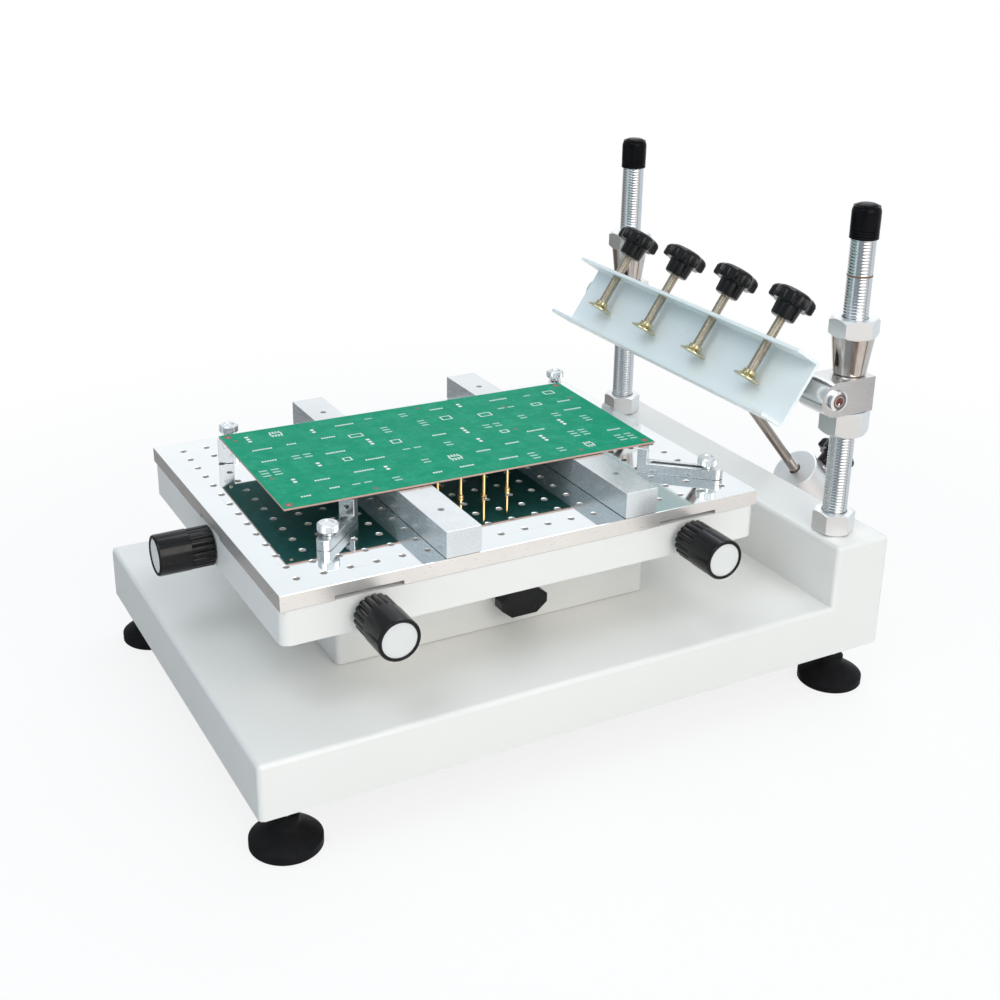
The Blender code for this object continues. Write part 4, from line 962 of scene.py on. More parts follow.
@dataclass
class Part:
    """A closed shape, the finish that it wears and, if they differ, the finish of its upright faces."""

    shape: Shape
    finish: Finish
    upright: Finish | None = None

    def join(self, whole: Shape, finishes: Sequence[Finish]) -> None:
        """Add the shape to a whole one, whose materials follow the list of finishes, and free it.

        Args:
            whole: The shape that takes it.
            finishes: The whole's finishes, in order.
        """
        self.shape.normal_update()
        for face in self.shape.faces:
            upright = self.upright and abs(face.normal.z) < UPRIGHT_RISE
            face.material_index = finishes.index(self.upright if upright else self.finish)
        single = bpy.data.meshes.new("single")
        self.shape.to_mesh(single)
        self.shape.free()
        whole.from_mesh(single)
        bpy.data.meshes.remove(single)


def placed(place: Matrix, *parts: Part) -> list[Part]:
    """The parts themselves, in order, moved to their place.

    Args:
        place: Their place.
        parts: The parts.

    Returns:
        The same parts.
    """
    for part in parts:
        moved(part.shape, place)
    return list(parts)


def settle(piece: bpy.types.Object) -> None:
    """Replace a piece's mesh by what its modifiers make of it, and drop the modifiers.

    Args:
        piece: The piece.
    """
    finished = evaluated_mesh(piece)
    piece.modifiers.clear()
    before = piece.data
    piece.data = finished
    bpy.data.meshes.remove(before)


def soften(piece: bpy.types.Object, bevel: float, crease: float) -> None:
    """Round a piece's edges and shade it smooth between its creases.

    Args:
        piece: The piece.
        bevel: Width of its rounded edges.
        crease: Angle above which an edge stays sharp, in degrees.
    """
    piece.data.shade_smooth()
    if bevel:
        edges = piece.modifiers.new("edges", 'BEVEL')
        edges.width = bevel
        edges.segments = 2
        edges.limit_method = 'ANGLE'
        edges.angle_limit = math.radians(crease)
        settle(piece)
    piece.data.set_sharp_from_angle(angle=math.radians(crease))
    flats = piece.modifiers.new("flats", 'WEIGHTED_NORMAL')
    flats.weight = FLAT_WEIGHT
    flats.keep_sharp = True
    settle(piece)


def deliver(name: str, parts: Sequence[Part], body: str, nodes: Sequence[str] = (),
            bevel: float = 0.0, crease: float = 32.0) -> None:
    """Make one finished piece and let it ride on its body.

    Args:
        name: The piece's name.
        parts: Its shapes and their finishes, the main one first.
        body: The body that it rides on.
        nodes: The CAD nodes that it stands for.
        bevel: Width of its rounded edges.
        crease: Angle above which an edge stays sharp, in degrees.
    """
    worn = [finish for part in parts for finish in (part.finish, part.upright) if finish]
    finishes = list(dict.fromkeys(worn))
    whole = bmesh.new()
    for part in parts:
        part.join(whole, finishes)
    piece = loose_object(name, whole)
    for finish in finishes:
        piece.data.materials.append(finish.material)
    soften(piece, bevel, crease)
    piece.data.name = name
    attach(piece, body)
    if nodes:
        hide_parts(*nodes)
    log.info("%s rides on %s: %d faces", name, body, len(piece.data.polygons))


def dress(node: str, finish: Finish) -> None:
    """Give a CAD node that stays in view its finish.

    Args:
        node: The node's name.
        finish: What it wears.
    """
    mesh = frame["nodes"][node].data
    mesh.materials.clear()
    mesh.materials.append(finish.material)
    log.info("%s keeps its own shape in %s", node, finish.name)


@dataclass(frozen=True)
class HexagonNut:
    """A plated hexagon nut with turned corners."""

    flats: float
    bore: float
    chamfer: float = 1.6 * MM
    face_inset: float = 0.3 * MM
    slope: float = 1.4

    def shape(self, height: float) -> Shape:
        """The closed nut at a height, standing on z = 0.

        Args:
            height: The nut's height.

        Returns:
            The closed shape.
        """
        corner = self.flats / math.sqrt(3)
        face = self.flats / 2 - self.face_inset
        drop = self.slope * self.chamfer
        turning = turned([(self.bore, 0), (self.bore, height), (face, height), (corner + MM, height - drop),
                          (corner + MM, drop), (face, 0)], LARGE, ring=True)
        return combined(slab([circle(corner, HEXAGON)], 0, height), [turning], 'INTERSECT')

    def build(self, node: str, body: str) -> None:
        """Make the nut that stands for a CAD node, on its body."""
        nut = Part(self.shape(height_of(node)), NUT_METAL)
        deliver(node + "_plated", placed(over(node), nut), body, [node])


class SubAssembly(ABC):
    """Pieces of the press that belong together."""

    @abstractmethod
    def build(self) -> None:
        """Make the pieces and dress them."""


@dataclass
class Enclosures(SubAssembly):
    """The folded base, the pedestal and the tray."""

    edge: float = 0.6 * MM
    smoothing: float = 50.0
    ledge_length: float = 74 * MM
    ledge_depth: float = 5 * MM
    ledge_thickness: float = 0.9 * MM
    ledge_rise: float = 0.1 * MM
    ledge_edge: float = 0.1 * MM
    rim: float = 0.6 * MM

    def build(self) -> None:
        """Round the folds of the three sheet pieces and coat them."""
        for node in ("base_pan", "pedestal", "table_case"):
            deliver(node + "_coated", [Part(cad_shape(node), CREAM_COAT)], "base", [node],
                    bevel=self.edge, crease=self.smoothing)
        for node in ("cross_slide", "feed_slide", "feed_block"):
            dress(node, BARE_STEEL)
        self.build_ledges()

    def build_ledges(self) -> None:
        """Turn the tray's rim inwards under the plate's three notches."""
        low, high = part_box("table_case")
        long, deep, thick = self.ledge_length, self.ledge_depth, self.ledge_thickness
        z = high.z + self.ledge_rise - thick / 2
        ledges = [block((deep, long, thick), (high.x - self.rim - deep / 2, joint_place(joint).y, z))
                  for joint in SIDE_KNOB_JOINTS]
        ledges.append(block((long, deep, thick), (0, low.y + self.rim + deep / 2, z)))
        deliver("tray_ledges", [Part(ledge, CREAM_COAT) for ledge in ledges], "base",
                bevel=self.ledge_edge)


@dataclass
class WorkTable(SubAssembly):
    """The perforated plate with its notches, the support pins and the two bars."""

    plates: PerforatedPlateTree
    pitch: float = 20 * MM
    hole: float = 2.5 * MM
    rows: int = 14
    columns: int = 19
    plate_crease: float = 20.0
    notch_height: float = 3.3 * MM
    notch_depth: float = 13 * MM
    side_notch: float = 52 * MM
    front_notch: float = 46 * MM
    swivel: float = 6.5 * MM
    swivel_depth: float = 6.3 * MM
    chamfer: float = 0.6 * MM
    overrun: float = 2 * MM
    bar_hole: float = 2.6 * MM
    bar_hole_inset: float = 37 * MM
    pin_radius: float = 1.4 * MM
    pin_point: float = 0.6
    pin_taper: float = 0.7 * MM
    pin_foot: float = 2.6 * MM
    pin_foot_height: float = 2 * MM
    pin_edge: float = 0.3 * MM
    pin_count: int = 4

    def build(self) -> None:
        """Make the plate, the bars and the pins."""
        self.build_plate()
        for end in ("front", "rear"):
            self.build_bar(f"support_bar_{end}", f"bar_{end}")
        for index in range(1, self.pin_count + 1):
            self.build_pin(f"support_pin_{index}")

    def build_plate(self) -> None:
        """Grow the plate and mill its notches."""
        low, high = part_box("work_plate")
        plate = self.plates.grow(PLATE_METAL.material, Width=high.x - low.x, Length=high.y - low.y,
                                 Thickness=high.z - low.z, Pitch=self.pitch, Hole_Radius=self.hole,
                                 Rows=self.rows, Columns=self.columns)
        place = over("work_plate")
        depth = self.notch_depth + self.overrun
        height = self.notch_height + self.overrun
        z = low.z + (self.notch_height - self.overrun) / 2
        x = high.x + self.overrun - depth / 2
        y = low.y - self.overrun + depth / 2
        tools = [block((depth, self.side_notch, height), (x, joint_place(joint).y, z))
                 for joint in SIDE_KNOB_JOINTS]
        tools.append(block((self.front_notch, depth, height), (0, y, z)))
        socket = turned([(0, self.swivel_depth), (self.swivel, self.swivel_depth),
                         (self.swivel, -self.overrun), (0, -self.overrun)], MODEST)
        tools.append(moved(socket, place))
        plate = combined(moved(plate, place), tools)
        # The plate's upright edges wear the warmer tone that paints their reflection.
        deliver("work_plate_finished", [Part(plate, PLATE_METAL, REFLECTION_TONED_EDGE)], "work_table", ["work_plate"],
                bevel=self.chamfer, crease=self.plate_crease)

    def build_bar(self, node: str, body: str) -> None:
        """Mill one support bar with its two through holes.

        Args:
            node: The bar's CAD node.
            body: The body that it rides on.
        """
        low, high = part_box(node)
        x = (high.x - low.x) / 2 - self.bar_hole_inset
        drills = [slab([circle(self.bar_hole, SMALL, (sign * x, 0))], low.z - MM, high.z + MM)
                  for sign in (-1, 1)]
        bar = combined(block(high - low, (0, 0, middle_of(node).z), self.chamfer), drills)
        # The bar's upright sides wear the darker tone, which is painted shade.
        deliver(node + "_milled", placed(over(node, 0.0), Part(bar, BAR_METAL, BAR_SHADED_SIDE)), body, [node])

    def build_pin(self, node: str) -> None:
        """Turn one support pin.

        Args:
            node: The pin's CAD node.
        """
        height, foot, edge = height_of(node), self.pin_foot_height, self.pin_edge
        pin = turned([(0, height), (self.pin_point * self.pin_radius, height),
                      (self.pin_radius, height - self.pin_taper), (self.pin_radius, foot + 2 * edge),
                      (self.pin_radius + edge, foot), (self.pin_foot - edge, foot),
                      (self.pin_foot, foot - edge), (self.pin_foot, 0), (0, 0)], SMALL)
        deliver(node + "_turned", placed(over(node), Part(pin, BRASS)), "work_table", [node])


@dataclass(frozen=True)
class MarkGrid:
    """The steps and sizes of one kind of printed marks, in millimetres, and their finish."""

    finish: Finish
    step_across: float
    step_along: float
    width: float
    length: float


FIELDS = MarkGrid(PALE_MASK, 5.2, 9.5, 2.0, 6.4)
LEGS = MarkGrid(TINNED, 9.0, 2.6, 2.2, 1.3)
TERMINALS = MarkGrid(TINNED, 5.0, 1.0, 3.0, 3.0)
LETTERS = MarkGrid(SILK, 1.0, 2.1, 2.4, 1.4)


class Kind(Enum):
    """What a place of the board's layout can hold, by the highest draw that still gives it."""

    CHIP = 0.04
    WORD = 0.30
    FRAME = 0.40
    FIELDS = 0.84
    TERMINALS = 1.0

    @classmethod
    def drawn(cls, draw: float) -> "Kind":
        """The kind that a draw from 0 to 1 gives."""
        return next(kind for kind in cls if draw < kind.value)


@dataclass
class Board(SubAssembly):
    """The circuit board, with a made-up layout of parts."""

    marks: PrintedRowTree
    width: float = 160 * MM
    length: float = 317 * MM
    turn: float = -1.44
    hole: float = 1.6 * MM
    hole_inset: float = 6 * MM
    skin: float = 0.12 * MM
    ring: float = 1.5 * MM
    via_scale: float = 0.6
    vias: tuple[Point, ...] = ((-0.86, -0.98), (0.98, -0.55), (0.30, -0.97), (-0.60, 0.55),
                               (-0.97, 0.1), (0.95, 0.62), (-0.55, 0.97), (0.1, 0.45))
    proud: float = 0.04 * MM
    line: float = 1.0 * MM
    columns: int = 11
    rows: int = 6
    start: Pair = (-62, -140)
    step: Pair = (25, 28)
    jitter: Pair = (5, 6)
    frame_width: Pair = (6, 9)
    frame_length: Pair = (7, 12)
    body_width: float = 5.5 * MM
    leg_counts: Sequence[int] = (3, 4)
    word_lengths: Sequence[int] = (4, 6, 8)
    fields_across: Sequence[int] = (1, 2, 3)
    fields_along: Sequence[int] = (1, 1, 2)
    terminal_counts: Sequence[int] = (2, 3)
    seed: int = 11

    @property
    def corners(self) -> list[Point]:
        """Middles of the four fixing holes."""
        x, y = self.width / 2 - self.hole_inset, self.length / 2 - self.hole_inset
        return [(i * x, j * y) for i in (-1, 1) for j in (-1, 1)]

    def build(self) -> None:
        """Make the laminate, the mask's face, the underside in a darker mask as painted shade, the pads and
        the print.
        """
        place = over("circuit_board") @ about('Z', self.turn)
        thickness, skin = height_of("circuit_board"), self.skin
        outlines = [rectangle(self.width, self.length),
                    *(circle(self.hole, TINY, corner) for corner in self.corners)]
        # The lowest layer wears the darker mask: painted shade on the board's underside.
        layers = [Part(slab(outlines, bottom, top), finish) for bottom, top, finish in (
            (thickness - skin, thickness, MASK), (skin, thickness - skin, LAMINATE), (0, skin, SHADED_UNDERSIDE_MASK))]
        deliver("board_masked", placed(place, *layers), "board", ["circuit_board"])
        face = place @ Matrix.Translation((0, 0, thickness - self.proud / 2))
        for name, parts in self.layout().items():
            deliver(name, placed(face, *parts), "board")

    def layout(self) -> dict[str, list[Part]]:
        """Pads, print and rings on a loose grid, the same each run, by the names of their pieces.

        Returns:
            The parts of each piece.
        """
        pads, lines = [], []
        x, y = self.corners[-1]
        rings = [self.ring_at(corner) for corner in self.corners]
        rings += [self.ring_at((i * x, j * y), self.via_scale) for i, j in self.vias]
        dice = random.Random(self.seed)
        for column in range(self.columns):
            for row in range(self.rows):
                centre = tuple(start * MM + index * step * MM + dice.uniform(-jitter, jitter) * MM
                               for start, index, step, jitter
                               in zip(self.start, (row, column), self.step, self.jitter))
                kind = Kind.drawn(dice.random())
                if kind is Kind.CHIP:
                    legs = dice.choice(self.leg_counts)
                    pads.append(self.marks_at(centre, LEGS, 2, legs))
                    lines.append(self.frame_at(centre, self.body_width, legs * LEGS.step_along * MM))
                elif kind is Kind.WORD:
                    lines.append(self.marks_at(centre, LETTERS, 1, dice.choice(self.word_lengths)))
                elif kind is Kind.FRAME:
                    lines.append(self.frame_at(centre, dice.uniform(*self.frame_width) * MM,
                                               dice.uniform(*self.frame_length) * MM))
                elif kind is Kind.FIELDS:
                    lines.append(self.marks_at(centre, FIELDS, dice.choice(self.fields_across),
                                               dice.choice(self.fields_along)))
                else:
                    pads.append(self.marks_at(centre, TERMINALS, dice.choice(self.terminal_counts), 1))
        return {"board_pads": pads, "board_print": lines, "board_rings": rings}

    def ring_at(self, centre: Point, scale: float = 1.0) -> Part:
        """A bare copper ring, full size round a fixing hole and smaller round a via.

        Args:
            centre: The ring's middle.
            scale: Its share of the full size.

        Returns:
            The part.
        """
        outlines = [circle(scale * (self.hole + self.ring), SMALL, centre),
                    circle(scale * self.hole, TINY, centre)]
        return Part(slab(outlines, -self.proud, self.proud), COPPER_RING)

    def marks_at(self, centre: Point, grid: MarkGrid, across: int, along: int) -> Part:
        """Pads, letters or fields on a small grid.

        Args:
            centre: The grid's middle.
            grid: What the marks are.
            across: Number of marks across the board.
            along: Number of marks along the board.

        Returns:
            The part.
        """
        marks = self.marks.grow(
            grid.finish.material, Across=across, Along=along, Step_Across=grid.step_across * MM,
            Step_Along=grid.step_along * MM, Mark_Width=grid.width * MM, Mark_Length=grid.length * MM,
            Mark_Height=2 * self.proud)
        return Part(moved(marks, Matrix.Translation((*centre, 0))), grid.finish)

    def frame_at(self, centre: Point, width: float, length: float) -> Part:
        """A printed rectangular outline."""
        inner = rectangle(width - 2 * self.line, length - 2 * self.line, centre)
        return Part(slab([rectangle(width, length, centre), inner], -self.proud, self.proud), SILK)


@dataclass
class LocatingArms(SubAssembly):
    """The slotted arms and their knurled thumb screws."""

    rods: RidgedRodTree
    edge: float = 0.35 * MM
    head_radius: float = 8 * MM
    head_height: float = 6.5 * MM
    head_edge: float = 0.8 * MM
    dish: Pair = (0.55, 0.62)
    dish_depth: float = 0.9 * MM
    neck_radius: float = 4.2 * MM
    neck_height: float = 2.5 * MM
    shank_radius: float = 1.9 * MM
    knurls: int = 36
    knurl_sides: int = 6
    knurl_depth: float = 0.5 * MM

    def build(self) -> None:
        """Make each corner's arm and screw."""
        for corner in Corner:
            arm = f"locating_arm_{corner.value}"
            deliver(arm + "_milled", [Part(cad_shape(arm), ARM_METAL)], f"arm_{corner.value}", [arm],
                    bevel=self.edge)
            self.build_screw(corner.value)

    def build_screw(self, corner: str) -> None:
        """Turn and knurl one thumb screw.

        Args:
            corner: The corner's words in the names.
        """
        node = f"thumb_screw_{corner}"
        top, edge = height_of(node), self.head_edge
        head = top - self.head_height
        neck = head - self.neck_height
        inner = self.head_radius - self.knurl_depth
        floor = top - self.dish_depth
        grip = self.rods.flutes(THUMB_METAL.material, self.head_radius, self.knurl_depth, self.knurls,
                                head + edge, top - edge, per_flute=self.knurl_sides)
        body = turned([(0, floor), (self.dish[0] * inner, floor), (self.dish[1] * inner, top),
                       (inner - edge, top), (inner, top - edge), (inner, head + edge),
                       (inner - edge, head), (self.neck_radius, head), (self.neck_radius, neck),
                       (self.shank_radius, neck), (self.shank_radius, 0), (0, 0)], LARGE)
        parts = placed(over(node), Part(body, THUMB_METAL), Part(grip, THUMB_METAL))
        deliver(node + "_knurled", parts, f"thumb_{corner}", [node])


@dataclass
class AdjustingKnobs(SubAssembly):
    """The three adjusting knobs and the table lock."""

    rods: RidgedRodTree
    radius: float = 16 * MM
    length: float = 43 * MM
    fluted_share: float = 0.4
    flutes: int = 18
    flute_depth: float = 1.3 * MM
    flute_sharpness: float = 3.0
    groove: float = 0.6 * MM
    lip: float = 0.4 * MM
    disc_radius: float = 13.2 * MM
    disc_recess: float = 1 * MM
    disc_thickness: float = 0.8 * MM
    disc_play: float = 0.1 * MM
    bush_radius: float = 7 * MM
    bush_edge: Pair = (0.6 * MM, 0.4 * MM)
    spindle_radius: float = 4 * MM
    spindle_pitch: float = MM
    spindle_reach: float = 66 * MM
    wall: float = 2.5 * MM
    edge: float = 1.5 * MM
    edge_round: Pair = (0.45, 0.25)
    side_standoff: float = 6.5 * MM
    front_standoff: float = 1 * MM
    lock_edge: float = 1.2 * MM

    def build(self) -> None:
        """Make each knob on its spindle, and the lock."""
        for node, axis, standoff in (("side_knob_front", 'Y', self.side_standoff),
                                     ("side_knob_rear", 'Y', self.side_standoff),
                                     ("front_knob", 'X', self.front_standoff)):
            place = Matrix.Translation(joint_place(node + "_turn")) @ about(axis, 90)
            deliver(node + "_moulded", placed(place, *self.knob(standoff)), node + "_body", [node])
        deliver("lock_knob_moulded", [Part(cad_shape("lock_knob"), BLACK_PLASTIC)], "lock_knob_body",
                ["lock_knob"], bevel=self.lock_edge)

    def knob(self, standoff: float) -> list[Part]:
        """One knob about Z, at its distance from the tray's wall, with disc, bush and spindle.

        Args:
            standoff: The knob's distance from the wall.

        Returns:
            The parts.
        """
        outer = standoff + self.length
        shoulder = standoff + self.fluted_share * self.length
        seat = outer - self.disc_recess - MM
        shell = turned([
            (self.disc_radius, seat), (self.disc_radius, outer - self.lip),
            (self.disc_radius + self.lip, outer), (self.radius - self.edge, outer),
            (self.radius - self.edge_round[0] * self.edge, outer - self.edge_round[1] * self.edge),
            (self.radius, outer - self.edge), (self.radius, shoulder + self.groove),
            (self.radius - self.groove, shoulder), (self.bush_radius, shoulder),
            (self.bush_radius, seat)], WIDE, ring=True)
        grip = self.rods.flutes(BLACK_PLASTIC.material, self.radius - self.lip, self.flute_depth,
                                self.flutes, standoff, shoulder + self.groove, self.flute_sharpness)
        rim, face = self.disc_radius - self.disc_play, outer - self.disc_recess
        disc = turned([(0, face), (rim, face), (rim, face - self.disc_thickness),
                       (0, face - self.disc_thickness)], WIDE)
        bush = turned([(0, standoff), (self.bush_radius - self.bush_edge[0], standoff),
                       (self.bush_radius, standoff - self.bush_edge[1]), (self.bush_radius, -self.wall),
                       (0, -self.wall)], MIDDLE)
        spindle = self.rods.thread(THREAD_STEEL.material, self.spindle_radius, self.spindle_pitch,
                                   -self.spindle_reach, -self.wall, SMALL)
        return [Part(shell, BLACK_PLASTIC), Part(grip, BLACK_PLASTIC), Part(disc, DISC_WHITE),
                Part(bush, CHROME), Part(spindle, THREAD_STEEL)]


@dataclass
class Columns(SubAssembly):
    """The threaded columns, their base nuts and their caps."""

    rods: RidgedRodTree
    radius: float = 10 * MM
    pitch: float = 2.5 * MM
    lead_in: float = 1.5 * MM
    nut: HexagonNut = HexagonNut(30 * MM, 10.4 * MM)
    cap_play: float = 0.3 * MM
    cap_wall: float = 1 * MM
    cap_top: float = 1.8 * MM
    cap_edge: float = 0.3 * MM
    cap_dome: float = 6.5 * MM
    dome_points: int = 7
    cap_ribs: int = 3
    rib_step: float = 2.2 * MM
    rib_half: float = 0.6 * MM
    rib_depth: float = 0.5 * MM
    band: float = 0.7 * MM
    band_proud: float = 0.1 * MM
    band_height: float = 353.5 * MM

    def build(self) -> None:
        """Make both sides."""
        for side in Side:
            self.build_column(side)
            for kind in ("base_nut", "under_nut"):
                self.nut.build(f"{kind}_{side.word}", "base")
            self.build_cap(f"column_cap_{side.word}")

    def build_column(self, side: Side) -> None:
        """Roll one column's thread and chamfer its ends. The right one has a greased ring.

        Args:
            side: The column's side.
        """
        node = f"column_{side.word}"
        low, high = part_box(node)
        rod = self.rods.thread(THREAD_STEEL.material, self.radius, self.pitch, low.z + self.lead_in,
                               high.z - self.lead_in, MIDDLE)
        root = self.radius - self.rods.DEPTH_SHARE * self.pitch
        tips = [turned([(0, top), (root - self.lead_in / 2, top), (root, bottom), (0, bottom)], MIDDLE)
                for bottom, top in ((high.z - 2 * self.lead_in, high.z), (low.z + 2 * self.lead_in, low.z))]
        parts = [Part(shape, THREAD_STEEL) for shape in (rod, *tips)]
        if side is Side.RIGHT:
            ring = turned([(root, -self.band), (self.radius, -self.band), (self.radius + self.band_proud, 0),
                           (self.radius, self.band), (root, self.band)], MIDDLE, ring=True)
            parts.append(Part(moved(ring, Matrix.Translation((0, 0, self.band_height))), GREASED_RING))
        deliver(node + "_threaded", placed(over(node, 0.0), *parts), "base", [node])

    def build_cap(self, node: str) -> None:
        """Make one vinyl cap, with the ribs round its mouth.

        Args:
            node: The cap's CAD node.
        """
        low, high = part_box(node)
        inner = self.radius + self.cap_play
        outer = inner + self.cap_wall
        dome, ceiling = self.cap_dome, high.z - self.cap_top
        profile = [(0, high.z), *arc(dome, 90, 0, self.dome_points, (outer - dome, high.z - dome))]
        for index in range(self.cap_ribs, 0, -1):
            z = low.z + index * self.rib_step
            profile += [(outer, z + self.rib_half), (outer - self.rib_depth, z), (outer, z - self.rib_half)]
        profile += [(outer, low.z + self.cap_edge), (outer - self.cap_edge, low.z), (inner, low.z),
                    (inner, ceiling), (0, ceiling)]
        deliver(node + "_moulded", placed(over(node, 0.0), Part(turned(profile, LARGE), CAP_VINYL)), "base",
                [node])


@dataclass
class Head(SubAssembly):
    """The hinge blocks, their nuts and the pivot bolts."""

    nut: HexagonNut = HexagonNut(34.6 * MM, 10.5 * MM, 2.2 * MM)
    block_edge: float = 0.8 * MM
    cone_height: float = 31 * MM
    cone_top: float = 17 * MM
    cone_lip: float = 0.3 * MM
    cone_foot: float = 13 * MM
    cone_foot_height: float = 1.2 * MM
    bolt_radius: float = 5 * MM
    bolt_head: float = 8.5 * MM
    bolt_head_height: float = 3.2 * MM
    bolt_round: Pair = (1.1 * MM, 0.4 * MM)
    bolt_edge: Pair = (0.3 * MM, 1.2 * MM)
    socket: float = 3.5 * MM
    socket_depth: float = 2 * MM
    groove: Pair = (1.3 * MM, 2.3 * MM)
    groove_slope: float = 0.1 * MM
    groove_depth: float = 0.6 * MM
    play: float = 0.05 * MM
    ring_top: float = 0.2 * MM
    liner_top: float = 1.7 * MM

    def build(self) -> None:
        """Make both sides."""
        for side in Side:
            block_node = f"hinge_block_{side.word}"
            deliver(block_node + "_milled", [Part(cad_shape(block_node), BLOCK_METAL)], "head", [block_node],
                    bevel=self.block_edge)
            lower_nut = f"lower_nut_{side.word}"
            self.nut.build(lower_nut, lower_nut + "_body")
            self.build_cone_nut(f"cone_nut_{side.word}")
            self.build_bolt(side)

    def build_cone_nut(self, node: str) -> None:
        """Make the nut whose polished cone presses on a block.

        Args:
            node: The nut's CAD node.
        """
        bore, shoulder = self.nut.bore, self.cone_height
        collar = moved(self.nut.shape(height_of(node) - shoulder), Matrix.Translation((0, 0, shoulder)))
        cone = turned([(bore, shoulder), (self.cone_top, shoulder),
                       (self.cone_top - self.cone_lip, shoulder - MM),
                       (self.cone_foot, self.cone_foot_height), (self.cone_foot - MM, 0), (bore, 0)],
                      LARGE, ring=True)
        parts = placed(over(node), Part(collar, NUT_METAL), Part(cone, CONE_STEEL))
        deliver(node + "_polished", parts, f"{node}_body", [node])

    def build_bolt(self, side: Side) -> None:
        """Make one pivot bolt with its ring and hexagon socket.

        Args:
            side: The bolt's side.
        """
        node = f"pivot_bolt_{side.word}"
        low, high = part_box(node)
        centre = middle_of(node)
        length = high.x - low.x
        head, floor = length - self.bolt_head_height, length - self.socket_depth
        inner, outer = (self.socket + width for width in self.groove)
        trough = length - self.groove_depth
        body = turned([(0, floor), (self.socket, floor), (self.socket, length),
                       (inner - self.groove_slope, length), (inner, trough), (outer, trough),
                       (outer + self.groove_slope, length), (self.bolt_head - self.bolt_round[0], length),
                       (self.bolt_head - self.bolt_edge[0], length - self.bolt_round[1]),
                       (self.bolt_head, length - self.bolt_edge[1]), (self.bolt_head, head),
                       (self.bolt_radius, head), (self.bolt_radius, 0), (0, 0)], LARGE)
        inner, outer = inner + self.play, outer - self.play
        trough, top = trough + self.play, length - self.ring_top
        ring = turned([(inner, trough), (inner, top), (outer, top), (outer, trough)], LARGE, ring=True)
        rim, face = self.socket - self.play, length - self.liner_top
        liner = turned([(0, face), (rim, face), (rim, floor + self.play), (0, floor + self.play)], HEXAGON)
        start = low.x if side is Side.RIGHT else high.x
        place = Matrix.Translation((start, centre.y, centre.z)) @ about('Y', side.value * 90)
        parts = placed(place, Part(body, CHROME), Part(liner, RED_SOCKET), Part(ring, GREASED_RING))
        deliver(node + "_turned", parts, "head", [node])


@dataclass
class StarKnob:
    """A lobed plastic knob on a threaded stem."""

    # Share of the radius, rise above the top or the brim in mm, share of the lobes' depth.
    CROWN = ((0.0, -0.8, 0.0), (0.30, -0.8, 0.0), (0.34, 0.0, 0.0), (0.60, -0.2, 0.1),
             (0.82, -1.4, 0.5), (0.94, -3.0, 0.85), (1.0, -5.2, 1.0))
    BRIM = ((1.0, 1.6, 1.0), (0.96, 0.4, 1.0), (0.90, 0.0, 0.9))

    rods: RidgedRodTree
    radius: float = 19.4 * MM
    lobes: int = 8
    sides_per_lobe: int = 12
    lobe_depth: float = 3.4 * MM
    hub_height: float = 12 * MM
    head_height: float = 13 * MM
    hub_foot: float = 10.4 * MM
    hub_top: float = 10.9 * MM
    throat: Pair = (0.3 * MM, 0.8 * MM)
    foot_edge: float = 0.6 * MM
    foot_taper: float = 2 * MM

    def parts(self, stem_radius: float, pitch: float, stem_end: float, seat: float,
              stem: Finish) -> list[Part]:
        """Shapes of one knob about its own Z.

        Args:
            stem_radius: Outer radius of the stem's thread.
            pitch: Height of one turn of the thread.
            stem_end: Height of the stem's free end.
            seat: Height of the hub's foot.
            stem: Finish of the stem.

        Returns:
            The parts of the knob.
        """
        brim = seat + self.hub_height
        levels = [(share * self.radius, base + rise * MM, lobe * self.lobe_depth)
                  for base, rows in ((brim + self.head_height, self.CROWN), (brim, self.BRIM))
                  for share, rise, lobe in rows]
        levels += [(radius, height, 0.0) for radius, height in (
            (self.hub_top + MM, brim + self.throat[0]), (self.hub_top, brim - self.throat[1]),
            (self.hub_foot, seat + self.foot_taper),
            (self.hub_foot - self.foot_edge, seat + self.foot_edge),
            (self.hub_foot - self.foot_taper, seat), (0.0, seat))]
        knob = turned([level[:2] for level in levels], self.lobes * self.sides_per_lobe,
                      lobes=self.lobes, lobe_depths=[level[2] for level in levels])
        thread = self.rods.thread(stem.material, stem_radius, pitch, stem_end, seat + MM, TINY)
        return [Part(knob, BLACK_PLASTIC), Part(thread, stem)]


